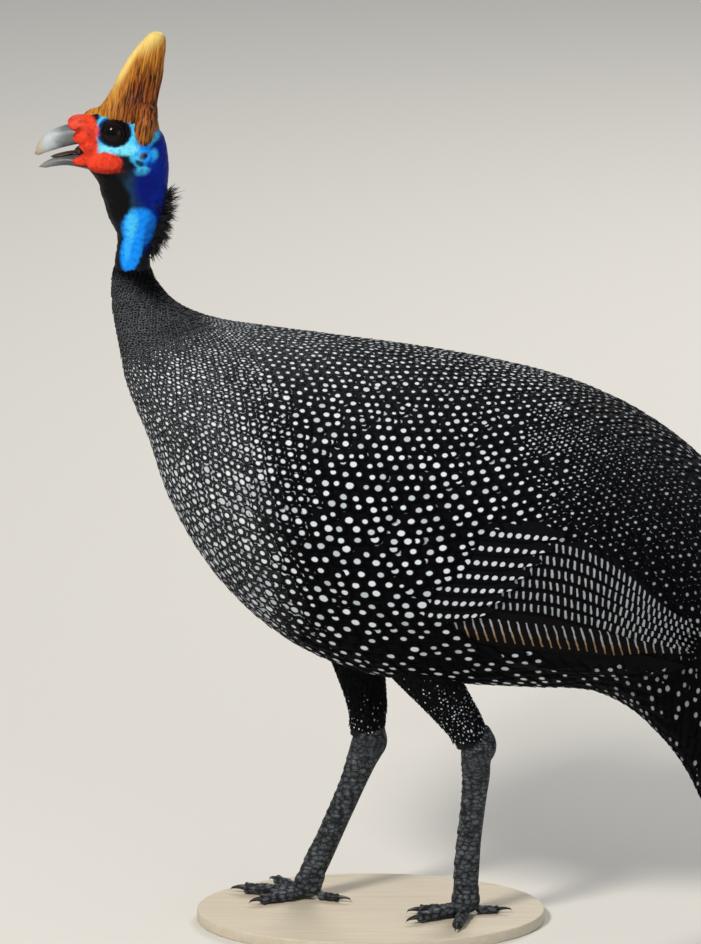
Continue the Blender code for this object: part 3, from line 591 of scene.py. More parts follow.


# %% [markdown]
# One feather is modelled first: a flat grid, narrow at the root, full in the middle and round
# at the tip, with eight of its points drawn into a ring where the white spot will be. It gets a
# thickness, and then it is copied for every place in the rows. Each copy carries its own map in
# millimetres from the spot, so one material can paint all the spots.

# %% One feather
ACROSS, ALONG = 4, 6
SPOT_AT = 0.80                 # the spot's middle, as a share of the feather's length
TIP_CURVE = 0.16
FEATHER_WIDTHS = [0.30, 0.70, 0.92, 1.0, 1.0, 0.93, 0.62]
VANE_THICKNESS = 0.16


def build_template(widths=FEATHER_WIDTHS, across=ACROSS, along=ALONG, spot=True):
    """The feather's mesh with its flat places, spot ring, underside flags and spot faces."""
    bm = bmesh.new()
    bmesh.ops.create_grid(bm, x_segments=across, y_segments=along, size=1.0)
    bmesh.ops.solidify(bm, geom=bm.faces, thickness=0.1)
    bmesh.ops.recalc_face_normals(bm, faces=bm.faces)
    if max(vert.co.z for vert in bm.verts) > 0.05:
        bmesh.ops.scale(bm, vec=(1, 1, -1), verts=bm.verts)
        bmesh.ops.reverse_faces(bm, faces=bm.faces)
    bm.verts.index_update()
    flat, ring, under = [], [], []
    for vert in bm.verts:
        column, row = round((vert.co.x + 1) / 2 * across), round((vert.co.y + 1) / 2 * along)
        x, y = column / across * 2 - 1, row / along
        under.append(abs(vert.co.z) > 0.05)
        if spot and 1 <= column <= 3 and 3 <= row <= 5:
            offset = Vector((column - 2, row - 4))
            ring.append(offset.normalized() if offset.length else offset)
            flat.append((0.0, SPOT_AT))
        else:
            ring.append(Vector((0, 0)))
            flat.append((x * float(np.interp(y, np.linspace(0, 1, len(widths)), widths)),
                         y - TIP_CURVE * x * x * y))
    whites = []
    for face in bm.faces:
        level = not any(under[vert.index] for vert in face.verts)
        whites.append(level and spot and all(tuple(flat[vert.index]) == (0.0, SPOT_AT)
                                             for vert in face.verts))
    mesh = bpy.data.meshes.new("feather")
    bm.to_mesh(mesh)
    bm.free()
    return {"mesh": mesh, "flat": np.array(flat), "ring": np.array([tuple(r) for r in ring]),
            "under": np.array(under), "white": np.array(whites)}


TEMPLATE = build_template()
print("one feather:", len(TEMPLATE["mesh"].polygons), "faces,", int(TEMPLATE["white"].sum()), "in the spot")

# %% [markdown]
# Laying the coat is one job for the computer's arrays: the feather's points are repeated for
# every root, moved in rows and columns, bent over the body and lifted at the tip. The map named
# OFBake gives each feather a small patch of its own at its root's place on the unrolled sleeve,
# and its spot a patch beside it, for whoever wants to bake the colours.

# %% Lay a flock of feathers
PATCH = 0.003
SPOT_PATCH = 0.0016


def repeated(mesh, count):
    """One mesh that holds a number of copies."""
    bm = bmesh.new()
    for _ in range(count):
        bm.from_mesh(mesh)
    whole = bpy.data.meshes.new("flock")
    bm.to_mesh(whole)
    bm.free()
    return whole


def add_number(mesh, name, values):
    """A number at each point of the mesh, which a material can read."""
    layer = mesh.attributes.new(name, "FLOAT", "POINT")
    layer.data.foreach_set("value", np.asarray(values, np.float32).ravel())


def add_map(mesh, name, corners):
    """A flat map with a place for every corner."""
    layer = mesh.uv_layers.new(name=name)
    layer.data.foreach_set("uv", np.asarray(corners, np.float32).ravel())


def flock(name, template, points, local, bake, numbers, finish, flip=False, replaced=()):
    """A coat piece: points and local map places per feather and vertex, bake places per feather."""
    count, each = points.shape[:2]
    mesh = repeated(template["mesh"], count)
    mesh.name = name
    metres = points.reshape(-1, 3) * MM + SHIFT
    mesh.vertices.foreach_set("co", metres.astype(np.float32).ravel())
    if flip:
        mesh.flip_normals()
    corners = np.zeros(len(mesh.loops), np.int32)
    mesh.loops.foreach_get("vertex_index", corners)
    feather, vertex = corners // each, corners % each
    add_map(mesh, "Feather", local.reshape(-1, 2)[corners])
    one = template["mesh"]
    starts = np.zeros(len(one.polygons), np.int32)
    one.polygons.foreach_get("loop_total", starts)
    white_corner = np.tile(np.repeat(template["white"], starts), count)
    inside = (template["flat"][vertex] * (0.4, 0.9)) * PATCH
    spot = (0.5 + 0.3 * template["ring"][vertex]) * SPOT_PATCH + (PATCH * 0.6, 0.0)
    add_map(mesh, "OFBake", bake[feather] + np.where(white_corner[:, None], spot, inside))
    for label, values in numbers.items():
        add_number(mesh, label, np.broadcast_to(np.asarray(values)[:, None], (count, each)))
    mesh.update()
    mesh.shade_smooth()
    mesh.materials.append(finish.material)
    made = bpy.data.objects.new(name, mesh)
    bpy.context.scene.collection.objects.link(made)
    return settle(made, replaced)


# %% [markdown]
# A guineafowl's feather is black with a round white spot near its tip. On the neck and the back
# the black is dusted with fine grey freckles, which make it look slate grey from a step away,
# and each spot keeps a clean black rim. The barbs show as fine, barely seen slanting lines in the gloss.
# The white spots are painted dimmer towards the tail: painted shade over the bird's rear.

# %% Spotted plumage
def spotted_finish():
    finish = Finish("spotted plumage", Roughness=0.70, Specular_IOR_Level=0.03)
    across, along, _ = finish.parts(finish.uv("Feather"))
    radius, grey, chance = (finish.attribute(name) for name in ("spot", "grey", "chance"))
    gap, parts, bars = (finish.attribute(name) for name in ("gap", "parts", "bars"))
    wide, high = gap / parts, gap * ROW_PITCH / parts
    row = (along / high).math("ROUND")
    column = across / wide + (row * 0.5).math("FRACT")
    aside, ahead = (column - column.math("ROUND")) * wide, along - row * high
    wobble = finish.noise(finish.joined(across * 0.45 + chance * 40.0, along * 0.45, chance), 1.0, 1.0)
    distance = ((aside ** 2.0 + (ahead * 0.9) ** 2.0) ** 0.5) + (wobble - 0.5) * 0.55
    shown = 1.0 - (row.math("ABSOLUTE") / parts).math("MINIMUM", 1.0) * 0.15
    white = (1.0 - finish.ramp(distance - radius, -0.30, 0.22)) * finish.ramp(radius, 0.1, 0.3) * shown
    rim = finish.ramp(distance - radius, 0.15, 0.85)
    dust = finish.noise(finish.joined(across * 2.4 + chance * 60.0, along * 3.2, chance * 9.0), 1.0, 3.0, 0.7)
    wave = along / high * 2.0 + (dust - 0.5) * 1.6 + finish.noise(finish.place(), 0.5, 2.0) * 2.0
    bar = finish.ramp((wave.math("FRACT") - 0.5).math("ABSOLUTE"), 0.12, 0.32)
    freckles = mix(finish.ramp(dust, 0.49, 0.57), bar * 0.7, bars) * rim * grey
    slate = finish.blend(freckles, (0.0020, 0.0020, 0.0028, 1.0), (0.180, 0.193, 0.210, 1.0))
    dull = finish.noise(finish.joined(chance * 90.0, radius, bars), 1.0, 0.0)
    pale = finish.blend(finish.ramp(dull, 0.25, 0.65), (0.46, 0.505, 0.55, 1.0), (0.68, 0.72, 0.76, 1.0))
    barbs = (across.math("ABSOLUTE") * 9.0 + along * 5.0).math("SINE")
    # Painted shade: the white spots grow dimmer from the middle of the body back to the tail.
    painted_rear_shade = finish.ramp(finish.parts(finish.place())[0], 60.0, 125.0) * 0.45
    finish.feed("Base Color", finish.blend(white * (barbs * 0.06 + 0.94 - painted_rear_shade), slate, pale))
    finish.bump(barbs, 0.25, 0.00006)
    return finish


spotted = spotted_finish()
print("spotted plumage ready")

# %% [markdown]
# Each root is a row and a column, nudged a little by seeded chance. The spot's size follows the
# spacing, larger and longer low on the flank, smaller over the back, and hardly more than a
# fleck on the neck. The roots inside the wing's outline make the wing's own pieces.

# %% Roots of the body's feathers
chance = np.random.default_rng(11)
FEATHER_ROWS = 3.4             # a feather's length in rows
FEATHER_HALF = 0.78            # its half width in columns
ROOT_OUT, TIP_OUT = -1.15, 0.05
last_row = int(ROW_AT[-1] - FEATHER_ROWS)
roots = []
for row in range(1, last_row):
    t = float(t_of_row(row))
    if t < BARE_TO:
        continue
    shift = 0.5 * (row % 2)
    for column in np.arange(-32.0, 40.0):
        place = column + shift
        arc = float(column_arc(t, np.array(place)))
        up, down = np.interp(t, T_GRID, REACH_UP), np.interp(t, T_GRID, REACH_DOWN)
        if -up - 0.25 * spacing(t) < arc < down + 0.25 * spacing(t):
            roots.append((row, place))
roots = np.array(roots)
print("feathers on one side:", len(roots))


def coat_points(template, row, column, lift, size, side, spot):
    """The points and map places of every feather of one side."""
    flat, ring, under = template["flat"], template["ring"], template["under"]
    t_root = t_of_row(row)
    gap = spacing(t_root)
    length = FEATHER_ROWS * size
    across = flat[None, :, 0] * FEATHER_HALF + ring[None, :, 0] * (spot / gap)[:, None]
    along = (flat[None, :, 1] * length[:, None]
             + ring[None, :, 1] * (spot / gap / ROW_PITCH)[:, None] * 1.1)
    rows = row[:, None] + along
    columns = column[:, None] + across
    t = t_of_row(np.minimum(rows, ROW_AT[-1] - 0.01))
    angle = angle_of(t, columns)
    share = along / length[:, None]
    out = (mix(ROOT_OUT, TIP_OUT, share) + lift[:, None] * share ** 2 - 0.35 * across ** 2
           - under[None, :] * VANE_THICKNESS)
    points = coat(t, angle, out)
    points[..., 1] *= side
    local = np.stack([across * gap[:, None],
                      (along - SPOT_AT * length[:, None]) * (gap * ROW_PITCH)[:, None]], axis=-1)
    return points, local


def spot_of(t, angle):
    """The spot's radius as a share of the spacing."""
    low = smooth_step(0.9, 2.2, angle)
    start = smooth_step(AT["neck root"] + 0.2, AT["shoulder"] + 0.8, t + 0.5 * (1.57 - angle) / 1.57)
    body = smooth_step(AT["shoulder"] + 0.2, AT["wing root"], t)
    behind = smooth_step(AT["back"], AT["loin"] + 0.6, t) * (1 - smooth_step(1.5, 2.1, angle))
    return start * mix(mix(0.19, mix(0.220, 0.188, low), body), 0.155, behind)


BREAST_EDGE = [(172, -60), (195, -67), (227, -70), (258, -77), (278, -86), (297, -96), (310, -112)]
BLACK_NECK = [(-142, 330), (-132, 325), (-122, 319), (-112, 317)]


def breast_share(point):
    """1 on the front of the breast, where the spots are small and close together."""
    edge = np.interp(point[:, 2], *np.array(BREAST_EDGE, float).T)
    return smooth_step(-16.0, 13.0, edge - point[:, 0])


def rump_share(point):
    """1 behind and above the wing, where the spots are small again."""
    return smooth_step(45.0, 100.0, point[:, 0] + 0.25 * (point[:, 2] - 230.0))


def grey_of(t, angle, point):
    """How thickly the black is dusted with grey: not at all where the neck's coat begins."""
    front = 1 - smooth_step(AT["shoulder"] + 0.4, AT["breast"] + 0.9, t)
    above = 1 - smooth_step(0.4, 1.6, angle)
    begun = smooth_step(-5.0, 5.0, np.interp(point[:, 0], *np.array(BLACK_NECK, float).T) - point[:, 2])
    behind = smooth_step(AT["breast"], AT["back"], t)
    dusted = 0.74 * front + mix(0.27, 0.09, behind) * above + 0.58 * breast_share(point) + 0.06 * (1 - behind)
    return np.clip(dusted, 0.0, 1.0) * begun


root_t = t_of_row(roots[:, 0])
root_angle = angle_of(root_t, roots[:, 1])
tip_t = t_of_row(np.minimum(roots[:, 0] + FEATHER_ROWS * SPOT_AT, ROW_AT[-1]))
tip_angle = angle_of(tip_t, roots[:, 1])
tip_point = bare_skin(tip_t, tip_angle)
tip_s, tip_v = wing_share(tip_point[:, 0], tip_point[:, 2])
on_wing = (tip_s > 0.0) & (tip_s < 1.0) & (tip_v > 0.0) & (tip_v < 1.0)
print("on the wing:", int(on_wing.sum()))


# %% [markdown]
# The coat is laid in lengths of the body, one piece for each side, so that no piece is too
# heavy. The roots behind the shoulder that fall inside the wing's outline belong to the wing.
# Where the long wing feathers lie, the small ones are left out.

# %% Lay the spotted coat
UNROLL = (0.03, 0.9)           # where the unrolled sleeve lies on the bake map


def bake_places(t, angle, side):
    """A place on the unrolled sleeve for every root."""
    across = np.clip(angle, 0.0, math.pi) / math.pi
    u = (t - T_FIRST) / (T_LAST - T_FIRST)
    v = 0.5 + side * 0.46 * (across - 0.02)
    return np.stack([mix(UNROLL[0], UNROLL[1], u), v], axis=-1)


ABOVE_LONG = [(6, 217), (40, 216.5), (76, 212.5), (90, 204.5), (106, 194), (118, 182.5), (130, 171),
              (150, 154)]
BELOW_LONG = [(6, 172), (24, 170), (34, 155), (60, 149), (92, 145), (120, 142), (150, 139)]
FRONT_OF_LONG = [(144, 34), (165, 30), (172, 12), (184, 10), (188, 27), (198, 30), (203, 38), (212, 44), (220, 40)]
upper = np.interp(tip_point[:, 0], *np.array(ABOVE_LONG).T)
lower = np.interp(tip_point[:, 0], *np.array(BELOW_LONG).T)
front = np.interp(tip_point[:, 2], *np.array(FRONT_OF_LONG).T)
under_long = ((tip_point[:, 0] > front) & (tip_point[:, 0] < 148) & (tip_point[:, 2] < upper)
              & (tip_point[:, 2] > lower))
lengths = {"neck": (0.0, AT["shoulder"] - 0.3), "breast": (AT["shoulder"] - 0.3, AT["wing root"] + 0.2),
           "flank": (AT["wing root"] + 0.2, AT["loin"] + 0.2), "rump": (AT["loin"] + 0.2, AT["vent"] + 0.2),
           "tail": (AT["vent"] + 0.2, 40.0)}
TAIL_END = AT["tail end"] + 0.35
for side, name in SIDES.items():
    size = 1 + 0.05 * chance.standard_normal(len(roots))
    row = roots[:, 0] + 0.14 * chance.standard_normal(len(roots))
    column = roots[:, 1] + 0.09 * chance.standard_normal(len(roots))
    lift = 0.16 * chance.random(len(roots))
    lucky, other = chance.random(len(roots)), chance.random(len(roots))
    crowded = breast_share(tip_point) > mix(0.1, 0.9, other)
    between = ~crowded & (breast_share(tip_point - (24.0, 0.0, 0.0)) > mix(0.1, 0.9, lucky))
    above_wing = tip_point[:, 2] > np.maximum(upper - 4.0, 158.0)
    behind = rump_share(tip_point) * smooth_step(0.25, 0.75, tip_angle) > mix(0.1, 0.9, other)
    behind &= above_wing
    parts = np.where(crowded | behind, 2.0, np.where(between, 1.5, 1.0))
    gaps = column_gap(root_t, roots[:, 1]) * (1 + 0.2 * crowded + 0.32 * behind)
    share = spot_of(tip_t, tip_angle) * (1 + 0.12 * chance.standard_normal(len(roots)))
    share *= np.where(crowded, mix(1.30, 1.6, smooth_step(270.0, 215.0, tip_point[:, 2])),
                      np.where(between, 1.22, 1.0))
    share *= 1 + 0.02 * behind + 0.15 * smooth_step(0.6, 0.2, tip_angle) * rump_share(tip_point)
    belly = smooth_step(166.0, 150.0, tip_point[:, 2]) * (tip_point[:, 0] > -45) * (tip_point[:, 0] < 160)
    share = np.where(other < 0.32 * belly, 0.0, share * (1 - 0.1 * belly))
    share = np.where((tip_t > AT["vent"]) & (lucky < 0.22), 0.0, share)
    spot = share * gaps / parts
    grey = grey_of(tip_t, tip_angle, tip_point) * mix(0.75, 1.1, lucky)
    bars = 1 - smooth_step(AT["neck root"] + 0.3, AT["crop"], tip_t + 0.9 * (1.57 - tip_angle) / 1.57)
    for place, (low, high) in lengths.items():
        for on, label in ((False, "coat_"), (True, "coverts_")):
            chosen = (root_t >= low) & (root_t < high) & (on_wing == on) & ~under_long & (tip_t < TAIL_END)
            if chosen.sum() < 1:
                continue
            points, local = coat_points(TEMPLATE, row[chosen], column[chosen], lift[chosen],
                                        size[chosen], side, spot[chosen])
            numbers = {"spot": spot[chosen], "grey": grey[chosen], "chance": lucky[chosen],
                       "gap": gaps[chosen], "parts": parts[chosen], "bars": bars[chosen]}
            bake = bake_places(root_t[chosen], root_angle[chosen], side)
            flock(label + place + "_" + name, TEMPLATE, points, local, bake, numbers, spotted,
                  flip=side == RIGHT)

# %% [markdown]
# The long feathers of the folded wing lie like planks, each one over the one below. Their outer
# webs are crossed by short slanted dashes. The row of feathers over their roots carries a line
# of round spots each. A plank is a grid of one feather's length, and all of them are laid at
# once by the same helper as the coat.

# %% The wing's long feathers
def locate(x, z, first="neck root", last="tail tip"):
    """The place along the sleeve and the angle on its right side of points of the side view."""
    low, high = np.full(x.shape, float(AT[first])), np.full(x.shape, float(AT[last]))
    for _ in range(24):
        t = (low + high) / 2
        back, front = rounded(t, BACKS), rounded(t, FRONTS)
        ahead = (front - back)[..., (0, 2)]
        beyond = ahead[..., 0] * (z - back[..., 2]) - ahead[..., 1] * (x - back[..., 0])
        low, high = np.where(beyond > 0, t, low), np.where(beyond > 0, high, t)
    middle, reach = (back + front) / 2, (back - front) / 2
    up = (x - middle[..., 0]) * reach[..., 0] + (z - middle[..., 2]) * reach[..., 2]
    up = np.clip(up / (reach ** 2).sum(axis=-1), -1.0, 1.0)
    return t, np.arccos(np.sign(up) * np.abs(up) ** (SQUARENESS / 2))


PLANK_WIDTHS = [0.80, 0.95, 1.0, 1.0, 1.0, 1.0, 0.95, 0.55]
PLANK = build_template(PLANK_WIDTHS, across=4, along=26, spot=False)
PLANK_SLOPE = 0.42             # how much a plank's lower edge stands out
# Rows of long feathers between a lower and an upper line of the side view: how many, heights
# of root and tip, how many stay plain, then the marks: half length, radius, distance apart and
# how brown they are.
PLANKS = [
    ([(24, 149), (46, 144), (72, 140), (100, 137), (125, 136.5), (141, 141)],
     [(24, 158), (46, 153), (72, 149.5), (100, 147), (125, 146), (141, 149)],
     2, 2, (-1.2, -0.6), (0.0, 0.0, 5.0, 0.0)),
    ([(22, 156), (44, 153.5), (66, 151), (92, 148), (118, 144), (146, 139)],
     [(22, 171.5), (44, 170.5), (66, 168), (92, 164.5), (118, 157.5), (147, 148)],
     2, 1, (-1.2, 0.1), (5.8, 0.42, 4.5, 1.0)),
    ([(38, 181.5), (69.4, 178.6), (87.5, 173.4), (100, 169), (112.5, 163.1), (125, 157.3), (148, 147)],
     [(50, 212), (78.7, 208.3), (95, 202.6), (111.2, 191.5), (121.2, 181.1), (132.5, 170.5), (150, 158)],
     6, 0, (-0.5, 0.5), (1.45, 0.52, 3.4, 0.0)),
    ([(2, 177.0), (18.5, 175.2), (32, 175.4), (46, 176.5)],
     [(32, 217.8), (46, 216.4), (62, 214.8), (82, 212.4)],
     7, 0, (-1.3, 1.1), (0.15, 1.22, 4.3, 0.0)),
]


def planks(side):
    """Every long wing feather of one side: points, map places, bake places and numbers."""
    flat, under = PLANK["flat"], PLANK["under"]
    points, local, bake = [], [], []
    numbers = {"dash": [], "spot": [], "pitch": [], "brown": [], "chance": []}
    for tier, (low, top, count, plain, rise, marks) in enumerate(PLANKS):
        last = len(low) - 1.0
        for i in range(count):
            share = i / (count - 1)
            start, end = 0.03 * chance.random(), 1 - 0.035 * chance.random()
            along = mix(start, end, flat[:, 1])
            under_line, over_line = rounded(along * last, low), rounded(along * last, top)
            step = (over_line - under_line) / (count - 1)
            gap = np.linalg.norm(step, axis=-1)
            place = mix(under_line, over_line, share) + step * (flat[:, 0] * 0.8)[:, None]
            out = (mix(rise[0], rise[1], flat[:, 1]) - PLANK_SLOPE * flat[:, 0] - 0.25 * flat[:, 0] ** 2
                   - under * 0.22 + 0.06 * i)
            made = coat(*locate(place[:, 0], place[:, 1]), out)
            made[:, 1] *= side
            points.append(made)
            line = rounded(np.linspace(start, end, 60) * last, mix(np.array(low, float), np.array(top, float), share))
            run = np.concatenate([[0.0], np.cumsum(np.linalg.norm(np.diff(line, axis=0), axis=1))])
            travelled = np.interp(flat[:, 1], np.linspace(0, 1, 60), run) - run[-1]
            local.append(np.stack([(flat[:, 0] * 0.8 + 0.3) * gap, travelled], axis=-1))
            bake.append((0.03 + 0.2 * tier + 0.012 * i, 0.93 + side * 0.03))
            for key, value in zip(numbers, (*(marks if i >= plain else PLANKS[0][-1]), chance.random())):
                numbers[key].append(value)
    return np.array(points), np.array(local), np.array(bake), {k: np.array(v) for k, v in numbers.items()}


def barred_finish():
    """Black feathers crossed by short pale dashes, or by a line of spots."""
    finish = Finish("barred plumage", Roughness=0.68, Specular_IOR_Level=0.03)
    across, along, _ = finish.parts(finish.uv("Feather"))
    radius, dash, pitch, brown, chance_of = (finish.attribute(name)
                                             for name in ("spot", "dash", "pitch", "brown", "chance"))
    wobble = finish.noise(finish.joined(across * 0.2, along * 0.3, chance_of * 30.0), 1.0, 1.0) - 0.5
    slanted = (along + across * 0.30 + wobble * 1.1) / pitch + chance_of
    off = (slanted.math("FRACT") - 0.5) * pitch
    past = (((across * 1.0).math("ABSOLUTE") - dash).math("MAXIMUM", 0.0))
    distance = (off ** 2.0 + past ** 2.0) ** 0.5 - radius
    uneven = finish.noise(finish.joined(along * 0.6, across * 0.3, chance_of * 50.0), 1.0, 2.0)
    white = (1.0 - finish.ramp(distance + (uneven - 0.5) * 0.9, -0.2, 0.2)) * finish.ramp(along * -1.0, 0.6, 1.6)
    dull = finish.noise(finish.place(), 0.08, 2.0)
    pale = finish.blend(dull, (0.42, 0.46, 0.50, 1.0), (0.66, 0.69, 0.72, 1.0))
    pale = finish.blend(finish.ramp(dash, 0.6, 1.4) * 0.55, pale, (0.16, 0.165, 0.17, 1.0))
    tan = finish.ramp(across * -1.0 + (uneven - 0.5) * 7.0, -3.0, 2.5) * brown
    pale = finish.blend(tan * 0.85, pale, (0.27, 0.15, 0.055, 1.0))
    ground = finish.blend(brown * 0.3, (0.0035, 0.0035, 0.0045, 1.0), (0.008, 0.006, 0.005, 1.0))
    finish.feed("Base Color", finish.blend(white, ground, pale))
    finish.bump((across * 9.0 + along * 4.0).math("SINE"), 0.25, 0.00006)
    return finish


barred = barred_finish()
for side, name in SIDES.items():
    points, local, bake, numbers = planks(side)
    flock("flight_" + name, PLANK, points, local, bake, numbers, barred, flip=side == LEFT)

# %% [markdown]
# The tail of a guineafowl is short and hangs down, and its upper coverts cover nearly all of it.
# Only the ends of the tail feathers show. They are planks too, laid around the end of the
# sleeve, the middle ones longest and on top, each with rows of long spots.

# %% Tail feathers
TAIL_PLANK = build_template([0.5, 0.8, 0.95, 1.0, 1.0, 1.0, 0.9, 0.58], across=4, along=20, spot=False)
TAIL_FEATHERS = 8


def tail_planks(side):
    """The tail feathers of one side."""
    flat, under = TAIL_PLANK["flat"], TAIL_PLANK["under"]
    points, local, bake = [], [], []
    for i in range(TAIL_FEATHERS):
        share = i / (TAIL_FEATHERS - 1)
        centre = math.radians(mix(7.0, 158.0, share))
        t = mix(AT["tail cover"] + 0.1, AT["tail point"] - 0.02 - 0.4 * share, flat[:, 1])
        wide = 7.4 / rounded(t, HALF_WIDTHS)
        angle = centre + flat[:, 0] * wide
        out = mix(-0.9, 0.7, flat[:, 1]) + 0.5 * (0.5 - share) - 0.45 * flat[:, 0] - under * 0.25
        made = bare_skin(t, angle) + outward(t, angle) * TURN * out[:, None]
        made[:, 1] *= side
        points.append(made)
        local.append(np.stack([flat[:, 0] * 7.4, (flat[:, 1] - 1) * 105.0], axis=-1))
        bake.append((0.93, 0.3 + 0.03 * i + 0.27 * (side > 0)))
    count = TAIL_FEATHERS
    numbers = {"spot": np.full(count, 1.35), "grey": np.full(count, 0.05), "chance": chance.random(count),
               "gap": np.full(count, 7.2), "parts": np.ones(count), "bars": np.zeros(count)}
    return np.array(points), np.array(local), np.array(bake), numbers


for side, name in SIDES.items():
    points, local, bake, numbers = tail_planks(side)
    flock("tail_feathers_" + name, TAIL_PLANK, points, local, bake, numbers, spotted, flip=side == RIGHT)

# %% [markdown]
# The thighs are feathered down to the heel with the smallest spotted feathers. Each thigh is a
# limb through a few cuts, and its feathers sit in rows around it, in the same way as on the
# body. A share along the limb and an angle around it make a point of it.

# %% Thigh feathers
THIGH = {
    LEFT: [(-6, 31, 158, 18, 14), (6, 30.5, 141, 15.5, 13), (18.4, 28, 123.7, 12.9, 11.5),
           (26.5, 25, 111.5, 11, 9.8), (33, 22.8, 101, 9.6, 8.4), (35.8, 21.5, 91.5, 8.4, 7.2)],
    RIGHT: [(-32, 30, 160, 15, 14), (-27.5, 29, 145, 14.4, 13), (-22, 27, 126, 13.4, 11.5),
            (-17.5, 23.5, 107, 11, 9.6), (-16, 21, 95, 9.6, 8.4), (-17.4, 19.4, 84, 8.6, 7.2)],
}


def limb_point(cuts, side, t, angle, out):
    """Points of a limb that runs down through cuts: angle 0 is its front, pi / 2 the outer side."""
    cuts = np.asarray(cuts, float)
    places = cuts[:, :3] * (1, side, 1)
    along = rounded(t + 0.1, places) - rounded(t - 0.1, places)
    along /= np.linalg.norm(along, axis=-1, keepdims=True)
    outer = np.broadcast_to(np.array([0.0, side, 0.0]), along.shape)
    ahead = np.stack([along[..., 2], np.zeros_like(along[..., 0]), -along[..., 0]], axis=-1)
    ahead /= np.linalg.norm(ahead, axis=-1, keepdims=True)
    deep, wide = rounded(t, cuts[:, 3]) + out, rounded(t, cuts[:, 4]) + out
    return (rounded(t, places) + ahead * (np.cos(angle) * deep)[..., None]
            + outer * (np.sin(angle) * wide)[..., None])


THIGH_GAP, THIGH_ROWS = 2.5, 3.4
for side, name in SIDES.items():
    cuts = THIGH[side]
    t_line = np.linspace(0.9, 4.98, 200)
    line = limb_point(cuts, side, t_line, np.zeros(200), 0.0)
    steps = np.concatenate([[0.0], np.cumsum(np.linalg.norm(np.diff(line, axis=0), axis=1))])
    row_line = steps / (THIGH_GAP * ROW_PITCH)
    flat, ring, under = TEMPLATE["flat"], TEMPLATE["ring"], TEMPLATE["under"]
    roots_here = []
    for row in range(int(row_line[-1] - THIGH_ROWS * 0.9)):
        t_here = float(np.interp(row, row_line, t_line))
        girth = math.pi * float(rounded(t_here, np.array(cuts, float)[:, 3]) + rounded(t_here, np.array(cuts, float)[:, 4]))
        count = round(girth / THIGH_GAP)
        roots_here += [(row, (i + 0.5 * (row % 2)) / count * math.tau, math.tau / count) for i in range(count)]
    roots_here = np.array(roots_here)
    count = len(roots_here)
    row = roots_here[:, 0] + 0.2 * chance.standard_normal(count)
    t_root = np.interp(row, row_line, t_line)
    turned = np.abs((roots_here[:, 1] + math.pi) % math.tau - math.pi)
    shown = smooth_step(0.6, 3.0, t_root - (1.5 if side == RIGHT else 0.0) - 0.5 * (turned > 2.0))
    spot = np.clip(0.31 + 0.07 * chance.standard_normal(count), 0.2, 0.45) * (chance.random(count) < shown)
    across = flat[None, :, 0] * FEATHER_HALF + ring[None, :, 0] * (spot / THIGH_GAP)[:, None]
    along = flat[None, :, 1] * THIGH_ROWS + ring[None, :, 1] * (spot / THIGH_GAP / ROW_PITCH)[:, None]
    t = np.interp(row[:, None] + along, row_line, t_line)
    angle = roots_here[:, 1, None] + across * roots_here[:, 2, None] + 0.1 * chance.standard_normal(count)[:, None]
    out = mix(-0.8, 0.25, along / THIGH_ROWS) - 0.3 * across ** 2 - under * 0.14
    points = limb_point(cuts, side, t, angle, out)
    local = np.stack([across * THIGH_GAP, (along - SPOT_AT * THIGH_ROWS) * THIGH_GAP * ROW_PITCH], axis=-1)
    around = (roots_here[:, 1] / math.tau) % 1.0
    bake = np.stack([0.02 + 0.2 * row / row_line[-1] + 0.25 * (side > 0), 0.01 + 0.05 * around], axis=-1)
    numbers = {"spot": spot, "grey": np.full(count, 0.06), "chance": chance.random(count),
               "gap": np.full(count, THIGH_GAP), "parts": np.ones(count), "bars": np.zeros(count)}
    flock("coat_thigh_" + name, TEMPLATE, points, local, bake, numbers, spotted, flip=side == RIGHT)

# %% [markdown]
# Under the feathers lies one skin. On the head and the upper neck it is bare, and there it has
# folds: the lids, the rim of the ear, the red cere over the bill and the wattles at the corners
# of the mouth. All of these are closed shapes that overlap, and a voxel remesh melts them into
# one surface. Smoothing then rounds the places where they meet, as flesh does.

# %% Shapes of the bare head
LID_RADIUS, LID_THICKNESS, LID_OUT = 5.6, 0.85, 4.4
EAR_AT, EAR_RADIUS = (-126.0, 392.2), 2.5
CERE_LOBES = [((-158.6, 406.3), 3.6, (6.2, 4.0, 3.5)), ((-155.8, 400.9), 8.0, (6.2, 3.4, 4.2))]
WATTLE_LOBES = [((-146.6, 389.2), 14.4, (8.6, 2.8, 5.4)), ((-152.4, 390.8), 11.8, (4.6, 2.4, 3.2)),
                ((-152.6, 393.6), 11.4, (3.6, 2.2, 4.2))]
NOSTRIL = ((-162.6, 403.1), 8.0, (2.4, 2.0, 0.6), 28.0)
SKIN_VOXEL = 0.45
UNDER_FEATHERS = -1.6


def upright(point, y=0.0):
    """A point of the side view, at a distance from the bird's middle."""
    return np.array([point[0], y, point[1]])


def sleeve(first, last, rows, around, out):
    """A length of the skin's sleeve, at a height that may change along it."""
    def ring(share, angle):
        t = mix(first, last, share)
        height = np.interp(t, *out) if isinstance(out, tuple) else out
        return bare_skin(t, angle) + outward(t, angle) * TURN * height
    ends = [(rounded(t, BACKS) + rounded(t, FRONTS)) / 2 for t in (first, last)]
    return loft(ring, *ends, rows, around)


def hoop(centre, axis, radius, thickness, steps=48, sides=12, squash=1.0):
    """A closed ring round an axis."""
    bm = bmesh.new()
    axis = Vector(axis).normalized()
    first = axis.cross(Vector((0, 0, 1))).normalized()
    circle = bmesh.ops.create_circle(bm, segments=sides, radius=thickness)["verts"]
    for vert in circle:
        vert.co = Vector(centre) + first * (radius + vert.co.x) + axis * vert.co.y * squash
    edges = list({edge for vert in circle for edge in vert.link_edges})
    bmesh.ops.spin(bm, geom=circle + edges, cent=centre, axis=axis, angle=math.tau, steps=steps,
                   use_merge=True)
    bmesh.ops.recalc_face_normals(bm, faces=bm.faces)
    return bm


